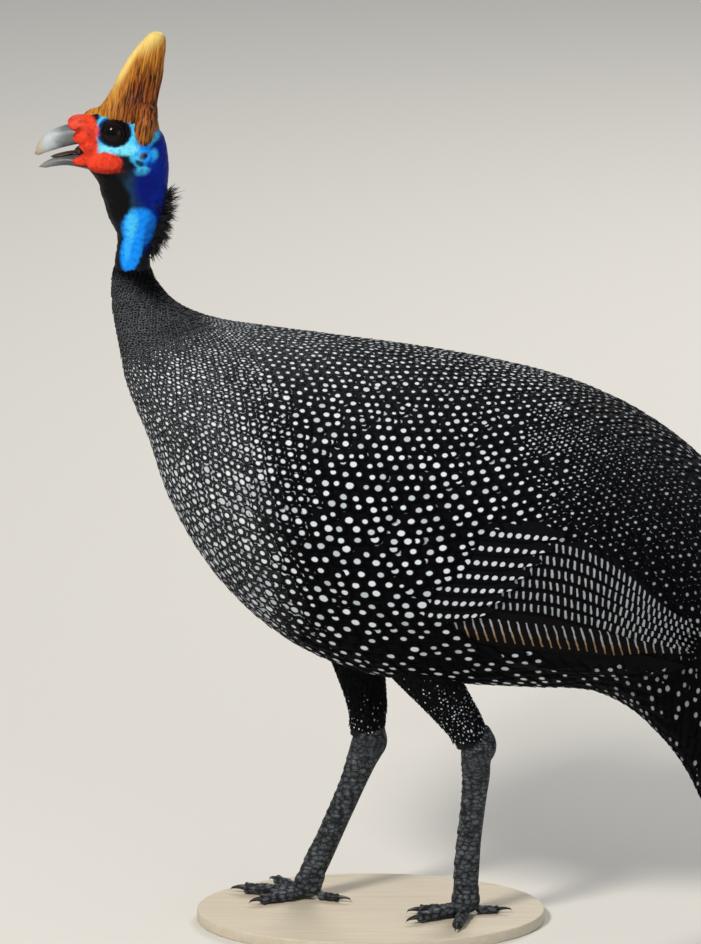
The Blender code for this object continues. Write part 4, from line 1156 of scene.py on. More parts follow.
flesh = [sleeve(0.0, 13.0, 160, 72, ([0.0, 10.1, 11.2], [0.0, 0.0, UNDER_FEATHERS]))]
for side in SIDES:
    look = Vector((EYE_LOOK[0], EYE_LOOK[1] * side, EYE_LOOK[2])).normalized()
    lid = Vector(upright(EYE_CENTRE, EYE_OUT * side)) + look * LID_OUT
    rim_of_eye = hoop(lid, look, LID_RADIUS, LID_THICKNESS, squash=0.8)
    bmesh.ops.scale(rim_of_eye, vec=(1.06, 1.0, 0.88), verts=rim_of_eye.verts,
                    space=Matrix.Translation(-lid))
    flesh.append(rim_of_eye)
    flesh.append(ball(upright((-158.0, 387.6), 5.4 * side), (4.6, 2.2, 2.6), tilt=-10))
    t, angle = locate(np.array(EAR_AT[0]), np.array(EAR_AT[1]), "bill root", "head root")
    ear = bare_skin(t, angle) * (1, side, 1)
    ear_axis = outward(t, angle) * TURN * (1, side, 1)
    flesh.append(hoop(ear, ear_axis, EAR_RADIUS, 0.6, 24, 8))
    flesh += [ball(upright(place, out * side), radii) for place, out, radii in CERE_LOBES + WATTLE_LOBES]
flesh.append(ball(upright((-158.4, 405.6)), (5.6, 5.0, 4.3)))
head_skin = remeshed(gather(flesh), SKIN_VOXEL, 4)
print("head and neck:", len(head_skin.faces), "faces")


def carved(bm, cutters):
    """The closed shape with others cut out of it."""
    mesh = bpy.data.meshes.new("whole")
    bm.to_mesh(mesh)
    bm.free()
    whole = bpy.data.objects.new("whole", mesh)
    cut_mesh = bpy.data.meshes.new("cut")
    cut_bm = gather(cutters)
    cut_bm.to_mesh(cut_mesh)
    cut_bm.free()
    cut = bpy.data.objects.new("cut", cut_mesh)
    for made in (whole, cut):
        bpy.context.scene.collection.objects.link(made)
    modifier = whole.modifiers.new("carve", "BOOLEAN")
    modifier.operation, modifier.solver, modifier.object = "DIFFERENCE", "MANIFOLD", cut
    bpy.context.view_layer.update()
    result = bmesh.new()
    result.from_mesh(whole.evaluated_get(bpy.context.evaluated_depsgraph_get()).data)
    for made in (whole, cut):
        bpy.data.objects.remove(made)
    return result


holes = [ball(upright((-165.6, 393.3)), (8.0, 14.0, 2.9))]
for side in SIDES:
    holes.append(ball(upright(EYE_CENTRE, EYE_OUT * side), (EYE_RADIUS + 0.1,) * 3))
    holes.append(ball(ear * (1, side * np.sign(ear[1]), 1), (1.1, 2.2, 1.4), 16, 10))
    place, out, radii, tilt = NOSTRIL
    holes.append(ball(upright(place, out * side), radii, 16, 10, tilt))
head_skin = carved(head_skin, holes)
for _ in range(2):
    bmesh.ops.smooth_vert(head_skin, verts=head_skin.verts, factor=0.4, use_axis_x=True,
                          use_axis_y=True, use_axis_z=True)
print("after the openings:", len(head_skin.faces), "faces")

# %% [markdown]
# Bare skin is never smooth. Small folds run across the neck and round the eye, and the red
# parts are covered with tiny warts. The larger of these are real relief: every point of the
# skin is moved along its normal by a little noise.

# %% Folds of the bare skin
head_skin.normal_update()
moves = []
for vert in head_skin.verts:
    x, y, z = vert.co
    red = max(smooth_step(6.5, 4.0, math.dist((x, z), (-157.5, 404.0))) if z > 396 else 0.0,
              smooth_step(10.0, 7.5, math.dist((x * 0.7, z * 1.3), (-145.0 * 0.7, 389.2 * 1.3))))
    wart = noise.noise(Vector((x, y, z)) * 1.1) * 0.22 * red
    neck = smooth_step(385.0, 372.0, z)
    fold = noise.noise(Vector((x * 0.30, y * 0.30, z * 0.45))) * 0.30 * neck
    crease = noise.noise(Vector((x, y, z)) * 0.45) * 0.22 * (1 - neck)
    moves.append(vert.normal * float(wart + fold + crease))
for vert, move in zip(head_skin.verts, moves):
    vert.co += move

# %% [markdown]
# The head's colours mostly follow its anatomy. Each mark is a soft ellipse in the side view, the same
# on both sides of the bird, with an edge that a little noise breaks up. The marks are laid one
# over another from the dark ground upwards: grey-blue, royal blue and azure on the nape and the
# neck, black on the throat, a pale blue ring under the eye, and red on the cere and wattles.
# A few marks are painted light: a lighter front edge on the neck's azure patch and a pink top on
# the cere are painted highlights, and the deep red in the folds round the cere and under the
# wattle is painted shade.

# %% Bare skin
DARK_SKIN = (0.006, 0.008, 0.014, 1.0)
NAVY, ROYAL = (0.001, 0.007, 0.165, 1.0), (0.001, 0.016, 0.260, 1.0)
AZURE, BRIGHT_AZURE = (0.006, 0.255, 0.900, 1.0), (0.070, 0.550, 0.930, 1.0)
PALE_BLUE, GREY_BLUE = (0.190, 0.720, 0.930, 1.0), (0.011, 0.040, 0.085, 1.0)
BLACK_SKIN, EAR_GREY = (0.003, 0.003, 0.004, 1.0), (0.075, 0.100, 0.120, 1.0)
# The deeper red is painted shade for the folds round the cere and under the wattle.
RED_SKIN, FOLD_SHADE_RED = (0.720, 0.048, 0.018, 1.0), (0.330, 0.016, 0.007, 1.0)
# The pink red is a painted highlight for the top of the cere.
PAINTED_HIGHLIGHT_PINK = (0.680, 0.095, 0.055, 1.0)
# Colour, middle, half sizes, turn in degrees, softness, strength.
HEAD_MARKS = [
    (GREY_BLUE, (-129.0, 374.5), (9.0, 9.5), 0, 0.40, 0.9),
    (NAVY, (-122.0, 378.0), (9.5, 16.0), 0, 0.35, 1.0),
    (ROYAL, (-116.5, 391.0), (7.0, 13.0), 0, 0.45, 0.9),
    (ROYAL, (-119.0, 367.5), (5.0, 12.0), -10, 0.45, 0.8),
    (AZURE, (-126.6, 394.0), (5.6, 7.6), 12, 0.35, 0.95),
    (BRIGHT_AZURE, (-123.2, 400.5), (4.0, 2.6), 20, 0.40, 0.9),
    (BRIGHT_AZURE, (-127.6, 385.8), (3.5, 2.7), 20, 0.55, 0.65),
    (BRIGHT_AZURE, (-130.6, 392.5), (3.0, 4.5), 15, 0.45, 0.8),
    (BLACK_SKIN, (-128.8, 389.0), (2.6, 1.3), -30, 0.45, 0.9),
    (NAVY, (-121.4, 396.6), (2.4, 1.3), 30, 0.5, 0.9),
    (ROYAL, (-123.4, 387.6), (2.6, 1.6), -20, 0.5, 0.9),
    (BLACK_SKIN, (-132.4, 387.6), (2.4, 1.0), -50, 0.5, 0.8),
    (BRIGHT_AZURE, (-121.6, 393.0), (1.5, 2.6), 10, 0.6, 0.5),
    (EAR_GREY, (-127.0, 392.6), (2.4, 1.9), 20, 0.4, 0.9),
    (AZURE, (-129.6, 355.5), (8.4, 10.2), -10, 0.16, 1.0),
    (AZURE, (-133.2, 344.0), (5.2, 11.4), -12, 0.18, 1.0),
    # The next two marks are a painted highlight on the front edge of the neck's azure patch.
    (BRIGHT_AZURE, (-133.2, 357.0), (3.0, 7.0), -6, 0.50, 0.8),
    (BRIGHT_AZURE, (-135.0, 346.0), (1.8, 8.0), -8, 0.50, 0.35),
    (ROYAL, (-124.6, 352.0), (2.4, 9.0), -10, 0.50, 0.55),
    (BLACK_SKIN, (-145.5, 377.0), (12.0, 7.5), -42, 0.20, 1.0),
    (BLACK_SKIN, (-139.5, 367.0), (5.6, 9.0), -20, 0.25, 1.0),
    (BLACK_SKIN, (-150.5, 384.0), (9.5, 4.2), -6, 0.25, 1.0),
    (ROYAL, (-139.5, 404.4), (10.6, 9.4), -6, 0.14, 0.9),
    (BRIGHT_AZURE, (-140.6, 401.8), (10.4, 7.4), -6, 0.16, 1.0),
    (BRIGHT_AZURE, (-140.2, 405.4), (10.2, 9.0), 0, 0.10, 0.95),
    (PALE_BLUE, (-141.5, 396.6), (8.6, 3.4), 6, 0.40, 0.95),
    (PALE_BLUE, (-133.5, 395.6), (4.4, 2.2), 20, 0.40, 0.9),
    (NAVY, (-141.6, 404.2), (8.7, 7.0), 0, 0.10, 0.9),
    (BLACK_SKIN, (-141.0, 404.1), (8.0, 6.7), 0, 0.12, 1.0),
    (RED_SKIN, (-158.6, 404.6), (9.4, 8.6), 0, 0.12, 1.0),
    (RED_SKIN, (-154.4, 397.6), (5.0, 6.5), 10, 0.18, 1.0),
    (RED_SKIN, (-155.0, 389.6), (8.0, 3.4), 6, 0.20, 0.95),
    (RED_SKIN, (-146.3, 389.0), (9.0, 5.7), 0, 0.12, 1.0),
    # Painted highlight on the top of the cere.
    (PAINTED_HIGHLIGHT_PINK, (-160.5, 407.0), (4.2, 2.4), 35, 0.50, 0.6),
    # Painted shade: the next four deep red marks darken the folds round the cere, the nostril's furrow and the
    # underside of the wattle.
    (FOLD_SHADE_RED, (-152.8, 402.8), (2.2, 4.4), 20, 0.60, 0.6),
    (FOLD_SHADE_RED, (-147.5, 385.2), (8.4, 1.7), 0, 0.60, 0.7),
    (FOLD_SHADE_RED, (-154.0, 394.5), (2.6, 2.0), 40, 0.60, 0.7),
    (FOLD_SHADE_RED, (-160.6, 403.4), (4.4, 1.2), 36, 0.50, 0.9),
    (BLACK_SKIN, (-161.4, 393.3), (4.6, 2.3), 0, 0.12, 1.0),
]


def skin_finish():
    finish = Finish("bare skin", Roughness=0.50, Specular_IOR_Level=0.07)
    place = finish.place()
    warp = finish.noise(place, 0.45, 4.0, 0.7) - 0.5
    x, y, z = finish.parts(place)
    x, z = x + warp * 2.2, z - warp * 1.8
    colour = finish.blend(0.0, DARK_SKIN, DARK_SKIN)
    for tint, (cx, cz), (wide, high), turn, soft, strength in HEAD_MARKS:
        cos, sin = math.cos(math.radians(turn)), math.sin(math.radians(turn))
        dx, dz = x - cx, z - cz
        along, up = (dx * cos + dz * sin) / wide, (dz * cos - dx * sin) / high
        distance = (along ** 2.0 + up ** 2.0) ** 0.5
        mask = (1.0 - finish.ramp(distance, 1.0 - soft, 1.0 + soft)) * strength
        colour = finish.blend(mask, colour, tint)
    feathered = 1.0 - finish.ramp(z, 326.0, 331.0)
    colour = finish.blend(feathered, colour, (0.010, 0.010, 0.011, 1.0))
    mottle = finish.noise(place, 0.42, 4.0, 0.72)
    shaded = finish.blend(finish.ramp(mottle, 0.34, 0.52), finish.blend(0.36, colour, BLACK_SKIN), colour)
    finish.feed("Base Color", shaded)
    warts = finish.cells(place, 0.95)
    grain = finish.noise(place, 2.6, 3.0, 0.6)
    finish.bump(grain * 0.4 - warts * 0.5, 0.5, 0.0003)
    return finish


bare = skin_finish()
body_skin = sleeve(AT["neck waist"] + 0.2, AT["tail point"] - 0.3, 96, 64, UNDER_FEATHERS)
thigh_skins = []
for side in SIDES:
    cuts = THIGH[side]
    ends = [np.array(cuts[i][:3]) * (1, side, 1) for i in (0, -1)]
    thigh_skins.append(loft(lambda share, angle: limb_point(cuts, side, np.full(angle.shape, mix(0.0, 5.0, share)),
                                                            angle, -1.0), *ends, 26, 28))
skin = add_piece("skin", gather([head_skin, body_skin] + thigh_skins), bare,
                 ["head", "neck_upper", "neck_lower", "torso", "thigh_left", "thigh_right", "cere",
                  "wattle_left", "wattle_right", "tail", "wing_left", "wing_right"])

# %% [markdown]
# A ragged mane of black hair-like feathers stands out from the nape. Each is a thin closed
# spindle with a slight bend. They are longest on the middle line, they stand up at the top of
# the neck and hang lower down, and they are laid all at once like the coat.

# %% Mane of the nape
MANE_COUNT, MANE_TUFTS, MANE_RADIUS = 1100, 72, 0.26


def spindle_template(around=5, rows=6):
    """A thin closed spindle: its mesh, and each point's angle and share of the length."""
    bm = bmesh.new()
    bmesh.ops.create_uvsphere(bm, u_segments=around, v_segments=rows, radius=1.0)
    bm.verts.index_update()
    share = np.array([math.acos(max(-1.0, min(1.0, vert.co.z))) / math.pi for vert in bm.verts])
    angle = np.array([math.atan2(vert.co.y, vert.co.x) for vert in bm.verts])
    bmesh.ops.reverse_faces(bm, faces=bm.faces)
    count = len(bm.verts)
    mesh = bpy.data.meshes.new("spindle")
    bm.to_mesh(mesh)
    bm.free()
    return {"mesh": mesh, "flat": np.stack([angle / math.pi * 0.8, share], axis=-1), "ring": np.zeros((count, 2)),
            "white": np.zeros(len(mesh.polygons), bool), "angle": angle, "share": share}


SPINDLE = spindle_template()
tuft_t = np.sort(chance.uniform(AT["head root"] + 0.75, AT["neck waist"] - 0.35, MANE_TUFTS))
tuft_angle = np.clip(0.34 * chance.standard_normal(MANE_TUFTS), -0.8, 0.8)
tuft_rise = mix(1.1, -0.9, (tuft_t - tuft_t[0]) / np.ptp(tuft_t)) + 0.32 * chance.standard_normal(MANE_TUFTS)
tuft_length = mix(6.5, 11.0, chance.random(MANE_TUFTS)) * np.exp(-(tuft_angle / 0.7) ** 2)
of_tuft = chance.integers(0, MANE_TUFTS, MANE_COUNT)
mane_t = tuft_t[of_tuft] + 0.11 * chance.standard_normal(MANE_COUNT)
mane_angle = tuft_angle[of_tuft] + 0.15 * chance.standard_normal(MANE_COUNT)
mane_out = outward(mane_t, mane_angle) * TURN
mane_up = bare_skin(mane_t - 0.3, mane_angle) - bare_skin(mane_t + 0.3, mane_angle)
mane_up /= np.linalg.norm(mane_up, axis=-1, keepdims=True)
tuft_out = outward(tuft_t, tuft_angle) * TURN
tuft_up = bare_skin(tuft_t - 0.3, tuft_angle) - bare_skin(tuft_t + 0.3, tuft_angle)
tuft_up /= np.linalg.norm(tuft_up, axis=-1, keepdims=True)
tuft_way = tuft_out + tuft_up * tuft_rise[:, None] + 0.15 * chance.standard_normal((MANE_TUFTS, 3))
tuft_way /= np.linalg.norm(tuft_way, axis=-1, keepdims=True)
tuft_tip = bare_skin(tuft_t, tuft_angle) + tuft_way * tuft_length[:, None]
reach = tuft_tip[of_tuft] + 0.8 * chance.standard_normal((MANE_COUNT, 3)) - bare_skin(mane_t, mane_angle)
length = np.linalg.norm(reach, axis=-1)
heading = reach / length[:, None]
length *= mix(0.6, 1.05, chance.random(MANE_COUNT))
sideways = np.cross(heading, mane_up)
sideways /= np.linalg.norm(sideways, axis=-1, keepdims=True)
flatways = np.cross(heading, sideways)
share = SPINDLE["share"][None, :, None]
thick = MANE_RADIUS * np.sin(np.clip(share * math.pi, 0, math.pi)) ** 0.5 * (1.15 - share)
root = bare_skin(mane_t, mane_angle) - mane_out * 0.5
droop = flatways * (0.7 * chance.standard_normal(MANE_COUNT))[:, None]
points = (root[:, None] + heading[:, None] * length[:, None, None] * share + droop[:, None] * share ** 2
          + sideways[:, None] * thick * np.cos(SPINDLE["angle"])[None, :, None]
          + flatways[:, None] * thick * np.sin(SPINDLE["angle"])[None, :, None])
hair_black = Finish("black mane", Base_Color=(0.006, 0.006, 0.008, 1.0), Roughness=0.55, Specular_IOR_Level=0.25)
bake = np.stack([0.02 + 0.3 * (mane_t - 8.0) / 2.5, 0.965 + 0.012 * mane_angle], axis=-1)
flock("mane", SPINDLE, points, np.stack([SPINDLE["flat"]] * MANE_COUNT), bake,
      {"chance": chance.random(MANE_COUNT)}, hair_black)

# %% [markdown]
# A guineafowl's eye is a dark brown ball with a black pupil, set deep between black lids. The
# ball is a whole sphere. Its iris and pupil are circles round the way it looks, which the
# material finds from the direction between the ball's middle and the point that it paints.

# %% Eyes
def eye_finish():
    finish = Finish("wet eye", Roughness=0.10, Specular_IOR_Level=0.12)
    x, y, z = finish.parts(finish.place())
    inner = (x - EYE_CENTRE[0]) * EYE_LOOK[0] + (z - EYE_CENTRE[1]) * EYE_LOOK[2]
    facing = (inner + (y.math("ABSOLUTE") - EYE_OUT) * EYE_LOOK[1]) / EYE_RADIUS
    pupil = finish.ramp(facing, 0.925, 0.94)
    streaks = finish.noise(finish.place(), 1.6, 2.0)
    iris = finish.blend(streaks, (0.003, 0.002, 0.0015, 1.0), (0.009, 0.005, 0.003, 1.0))
    rim = finish.ramp(facing, 0.62, 0.74)
    colour = finish.blend(rim, (0.003, 0.003, 0.003, 1.0), iris)
    finish.feed("Base Color", finish.blend(pupil, colour, (0.002, 0.002, 0.002, 1.0)))
    return finish


wet_eye = eye_finish()
for side, name in SIDES.items():
    eyeball = ball(upright(EYE_CENTRE, EYE_OUT * side), (EYE_RADIUS,) * 3, 48, 32)
    add_piece("eyeball_" + name, eyeball, wet_eye, ["eye_" + name])

# %% [markdown]
# The casque is a tall helmet of bone under a layer of horn. It leans back, ends in a blunt
# point, and sends a lobe down behind each eye. Its sides are streaked lengthwise, pale like
# straw in front and red-brown behind; the pale band along the front edge is partly the horn's
# own colour and partly a painted highlight. It is a loft through the same cuts as the solid,
# with its lobes melted into it.

# %% Casque
CASQUE = [
    ((-155.0, 405.8), (-119.5, 400.5), 10.6),
    ((-151.6, 411.8), (-120.2, 409.5), 9.0),
    ((-146.6, 417.3), (-120.6, 414.8), 8.2),
    ((-142.9, 423.6), (-119.6, 421.5), 6.2),
    ((-139.2, 431.0), (-117.9, 429.5), 5.3),
    ((-135.2, 438.2), (-116.7, 437.5), 4.5),
    ((-130.0, 445.4), (-115.7, 444.6), 3.9),
    ((-125.6, 450.1), (-115.9, 449.8), 3.0),
]
CASQUE_TIP = (-120.3, 452.6)
CASQUE_LOBE = ((-126.6, 404.8), 11.0, (5.2, 4.4, 8.6))
CASQUE_KNOB = ((-152.2, 410.6), (5.2, 4.6, 2.9), 22)


def flat_ovals(cuts):
    """A ring function through cuts that are given as two side-view points and a half width."""
    ones = np.array([upright(cut[0]) for cut in cuts])
    others = np.array([upright(cut[1]) for cut in cuts])
    wides = np.array([cut[2] for cut in cuts])

    def ring(share, angle):
        t = share * (len(cuts) - 1)
        one, other, wide = rounded(t, ones), rounded(t, others), rounded(t, wides)
        return ((one + other) / 2 + (one - other) / 2 * np.cos(angle)[:, None]
                + np.array([0.0, 1.0, 0.0]) * (np.sin(angle) * wide)[:, None])
    return ring


def middle(cut):
    """The middle of a cut that is given as two side-view points and a half width."""
    return (upright(cut[0]) + upright(cut[1])) / 2


place, out, radii = CASQUE_LOBE
horn_shapes = [loft(flat_ovals(CASQUE), middle(CASQUE[0]), upright(CASQUE_TIP), 60, 48)]
for side in SIDES:
    horn_shapes.append(ball(upright(place, out * side), radii, tilt=-8))
    horn_shapes.append(ball(upright((-125.6, 409.0), 7.6 * side), (5.4, 4.2, 9.0)))
    horn_shapes.append(ball(upright((-128.0, 400.8), 11.4 * side), (2.5, 2.8, 5.2), tilt=-12))
horn_shapes.append(ball(upright(CASQUE_KNOB[0]), CASQUE_KNOB[1], tilt=CASQUE_KNOB[2]))
horn_shapes.append(ball(upright((-120.9, 448.6)), (5.0, 3.5, 4.0)))
casque = remeshed(gather(horn_shapes), 0.5, 8)
casque.normal_update()
for vert in casque.verts:
    x, y, z = vert.co
    high = float(smooth_step(430.0, 444.0, z))
    lean = x * 0.62 - z * 0.10
    edge = -146.6 + 0.57 * (z - 417.3) + 0.002 * (z - 417.3) ** 2
    back_of_edge = float(smooth_step(1.0, 8.0, x - edge))
    ridge = noise.noise(Vector((lean, y * 0.45, z * 0.05))) * (1 - 0.85 * high) * mix(0.2, 1.0, back_of_edge)
    vert.co += vert.normal * ridge


def casque_finish():
    finish = Finish("casque horn", Roughness=0.46, Specular_IOR_Level=0.16)
    place = finish.place()
    x, y, z = finish.parts(place)
    front = (z - 417.3) * 0.57 + ((z - 417.3) ** 2.0) * 0.002 - 146.6
    across = (x - front) / (front * -1.0 - 118.5)
    lean = x * 0.50 - z * 0.08
    streak = finish.noise(finish.joined(lean, y * 0.10, z * 0.045), 1.0, 4.0, 0.65)
    fine = finish.noise(finish.joined(lean * 3.2, y * 0.25, z * 0.12), 1.0, 3.0, 0.6)
    gold = finish.blend(finish.ramp(fine, 0.35, 0.62), (0.250, 0.070, 0.005, 1.0), (0.500, 0.215, 0.022, 1.0))
    brown = finish.blend(finish.ramp(fine, 0.42, 0.58), (0.018, 0.004, 0.001, 1.0), (0.260, 0.060, 0.006, 1.0))
    base = 1.0 - finish.ramp(z + (streak - 0.5) * 20.0, 405.0, 417.0)
    brown = finish.blend(base * 0.7, brown, finish.blend(finish.ramp(fine, 0.40, 0.56), (0.050, 0.012, 0.003, 1.0),
                                                         (0.360, 0.130, 0.020, 1.0)))
    low = 1.0 - finish.ramp(z + (streak - 0.5) * 62.0, 424.0, 446.0)
    rear = finish.ramp(across + (streak - 0.5) * 0.6, 0.10, 0.42)
    colour = finish.blend(low * rear, gold, brown)
    # The pale band along the front edge is partly the horn's own colour and partly a painted highlight.
    pale = finish.blend(fine, (0.600, 0.400, 0.065, 1.0), (0.860, 0.700, 0.270, 1.0))
    edge = (1.0 - finish.ramp(across + (fine - 0.5) * 0.2, 0.02, 0.19)) * finish.ramp(z, 416.0, 434.0)
    top = finish.ramp(z + (streak - 0.5) * 16.0 - across * 6.0, 436.0, 449.0)
    colour = finish.blend(edge.math("MAXIMUM", top) * 0.9, colour, pale)
    finish.feed("Base Color", colour)
    finish.bump(fine * 0.5 + streak * 0.5, 0.5, 0.0005)
    return finish


add_piece("casque_horn", casque, casque_finish(), ["casque"])

# %% [markdown]
# The bill is two curved mandibles of horn, blue-grey at the root and the colour of old horn at
# the tip. Its front half is paler, partly its own colour and partly a painted whitish-blue
# highlight. The upper one hooks over the lower. Each is a loft through a few cuts with a rounded
# tip, and a dark lining closes the mouth behind them.

# %% Bill
UPPER_BILL = [
    ((-156.5, 407.0), (-156.5, 396.2), 7.2),
    ((-161.0, 406.2), (-161.3, 395.4), 6.3),
    ((-166.2, 405.1), (-167.0, 394.0), 5.0),
    ((-171.0, 403.5), (-172.2, 392.4), 4.0),
    ((-175.6, 400.7), (-176.6, 390.9), 3.1),
    ((-179.2, 396.6), (-179.3, 389.9), 2.1),
]
UPPER_BILL_TIP = (-181.2, 390.4)
LOWER_BILL = [
    ((-155.0, 390.6), (-155.0, 383.0), 6.6),
    ((-160.5, 390.4), (-160.0, 384.2), 5.6),
    ((-166.0, 390.2), (-165.5, 384.9), 4.3),
    ((-171.3, 388.9), (-171.0, 384.4), 3.0),
    ((-176.0, 386.6), (-175.8, 383.5), 1.7),
]
LOWER_BILL_TIP = (-179.4, 383.9)


def bill_finish():
    finish = Finish("bill horn", Roughness=0.38, Specular_IOR_Level=0.28)
    place = finish.place()
    x, y, z = finish.parts(place)
    cloud = finish.noise(place, 0.35, 3.0)
    ahead = x * -1.0 + (cloud - 0.5) * 5.0
    root = finish.blend(cloud, (0.070, 0.080, 0.084, 1.0), (0.165, 0.185, 0.192, 1.0))
    # The paler front is partly the horn's own colour and partly a painted highlight.
    pale_tip_and_highlight = finish.blend(finish.ramp(ahead, 165.0, 175.0), root, (0.430, 0.480, 0.500, 1.0))
    lower = 1.0 - finish.ramp(z, 389.5, 391.5)
    pale_tip_and_highlight = finish.blend(lower * 0.7, pale_tip_and_highlight, (0.050, 0.055, 0.054, 1.0))
    horn = finish.blend(finish.ramp(ahead, 174.5, 180.0) * 0.75, pale_tip_and_highlight, (0.400, 0.300, 0.170, 1.0))
    finish.feed("Base Color", horn)
    grain = finish.noise(finish.joined(x * 0.25, y * 1.6, z * 1.6), 1.0, 3.0)
    finish.bump(grain, 0.35, 0.0002)
    return finish


bill_horn = bill_finish()
add_piece("mandible_upper", loft(flat_ovals(UPPER_BILL), middle(UPPER_BILL[0]), upright(UPPER_BILL_TIP), 40, 40),
          bill_horn, ["bill_upper"])
add_piece("mandible_lower", loft(flat_ovals(LOWER_BILL), middle(LOWER_BILL[0]), upright(LOWER_BILL_TIP), 36, 40),
          bill_horn, ["bill_lower"])
gape = Finish("mouth lining", Base_Color=(0.045, 0.016, 0.010, 1.0), Roughness=0.45)
mouth = gather([ball(upright((-155.8, 392.8)), (5.8, 5.6, 2.6), tilt=8),
                ball(upright((-166.0, 390.7)), (7.5, 2.8, 0.9), tilt=12)])
add_piece("mouth", mouth, gape)

# %% [markdown]
# The legs are covered with horny plates: two rows of broad ones down the front of the shank,
# one row over each toe, and fine scales elsewhere. Shank, foot and toes are lofts whose rings
# step outwards once for every plate, melted into one leg by a fine remesh.

# %% Legs and feet
TARSUS = {
    LEFT: [(39.6, 21.6, 101, 4.4, 4), (40.0, 21.4, 96.5, 6.8, 5.6), (38.8, 21, 89, 8, 6.3),
           (38.2, 20.5, 82, 7.4, 5.6), (38.3, 19.6, 74.8, 7, 5.1), (37.5, 18.5, 65, 6.4, 4.7),
           (36.7, 17.4, 56.5, 6.2, 4.5), (34.8, 15.8, 38.6, 6.2, 4.5),
           (33.6, 14.2, 20.5, 6.4, 5.0), (33.4, 13.4, 9.5, 5.6, 4.6)],
    RIGHT: [(-13.4, 19, 92, 4.4, 4), (-13.8, 19, 87.5, 7, 5.6), (-15.8, 18.6, 80, 8.6, 6.4),
            (-19.2, 18, 71.5, 7.6, 5.6), (-23.2, 17.2, 61, 6.6, 4.9), (-27.4, 16.3, 51, 6.3, 4.6),
            (-31.8, 15.5, 41, 6.2, 4.5), (-36.8, 14.8, 29.5, 6.2, 4.5),
            (-42, 14, 18.5, 6.5, 5.0), (-45.6, 13.4, 9.5, 5.6, 4.6)],
}
SCUTES_FROM, SCUTES_TO, SCUTE_RISE = 3.0, 8.8, 0.6
SHANK_SCUTES = 13
FOOT_AT = {LEFT: (33.4, 13.2), RIGHT: (-46.2, 13.4)}
FOOT_TURN = {LEFT: 35.0, RIGHT: 15.0}
# Bearing away from straight ahead and outwards, length, radius, plates, claw length.
TOES = {
    LEFT: {"inner": (3, 21.0, 3.3, 8, 8.0), "middle": (31, 25.5, 3.6, 10, 9.0),
           "outer": (80, 24.0, 3.3, 9, 8.0), "hind": (184, 14.5, 2.5, 5, 8.0)},
    RIGHT: {"inner": (-24, 24.0, 3.3, 9, 8.0), "middle": (14, 31.0, 3.6, 12, 9.0),
            "outer": (54, 25.0, 3.3, 9, 8.0), "hind": (202, 14.5, 2.5, 5, 8.0)},
}
TOE_START, HIND_START, TOE_SIT = 5.0, 9.0, 0.72
LEG_VOXEL = 0.4


def shank(side):
    """The bare shank, with two rows of plates down its front."""
    cuts = np.array(TARSUS[side], float)
    front = math.radians(FOOT_TURN[side]) * 0.8

    def ring(share, angle):
        t = share * (len(cuts) - 1)
        plate = (t - SCUTES_FROM) / (SCUTES_TO - SCUTES_FROM) * SHANK_SCUTES
        shown = smooth_step(-0.3, 0.3, plate) * smooth_step(SHANK_SCUTES + 0.3, SHANK_SCUTES - 0.3, plate)
        off = (angle - front + math.pi) % math.tau - math.pi
        column = np.where(off > 0, 0.0, 0.45)
        climb = (plate + column) % 1.0
        edge = climb * smooth_step(1.0, 0.9, climb) - 0.35
        seam = smooth_step(0.0, 0.10, np.abs(off)) * smooth_step(1.35, 1.2, np.abs(off))
        groove = smooth_step(1.35, 1.2, np.abs(off)) * smooth_step(0.10, 0.0, np.abs(off)) * -0.35
        rise = SCUTE_RISE * shown * (edge * seam + groove)
        return limb_point(cuts, side, np.full(angle.shape, t), angle, rise)
    ends = [cuts[i, :3] * (1, side, 1) for i in (0, -1)]
    return loft(ring, *ends, 300, 72)


def toe_heading(bearing, side):
    """The direction of a toe on the ground."""
    turn = math.radians(bearing)
    return np.array([-math.cos(turn), side * math.sin(turn), 0.0])


def toe_shape(start, toe, side):
    """A toe with plates above and pads below."""
    bearing, length, thick, plates, _ = toe
    along = toe_heading(bearing, side)
    sideways = np.array([-along[1], along[0], 0.0])

    def ring(share, angle):
        radius = thick * (1 - 0.24 * share + 0.06 * math.cos(share * math.pi * 6))
        centre = start + along * length * share
        centre[2] = mix(start[2], thick * TOE_SIT, min(share * 3.2, 1.0))
        climb = (share * plates) % 1.0
        rise = 0.5 * (climb * smooth_step(1.0, 0.88, climb) - 0.3) * np.maximum(np.cos(angle), 0.0) ** 0.5
        return (centre + np.array([0, 0, 1.0]) * (np.cos(angle) * (radius + rise))[:, None]
                + sideways * (np.sin(angle) * (radius + rise * 0.5))[:, None])
    tip = start + along * (length + 1.0)
    tip[2] = thick * 0.6
    bm = loft(ring, start - along, tip, 90, 36)
    for vert in bm.verts:
        vert.co.z = max(vert.co.z, 0.0)
    return bm


def claw_shape(root, along, thick, length):
    """A curved claw whose point stays just clear of the ground."""
    sideways = np.array([-along[1], along[0], 0.0])

    def ring(share, angle):
        share *= 0.92
        centre = root + along * length * share
        centre[2] = root[2] + 0.9 * math.sin(share * math.pi * 0.8) - (root[2] - 1.3) * share ** 1.5
        radius = mix(thick * 0.5, 0.35, share)
        return (centre + np.array([0, 0, 1.0]) * (np.cos(angle) * radius)[:, None]
                + sideways * (np.sin(angle) * radius * 0.8)[:, None])
    tip = root + along * length
    tip[2] = 0.5
    return loft(ring, root - along * 0.5, tip, 16, 18)


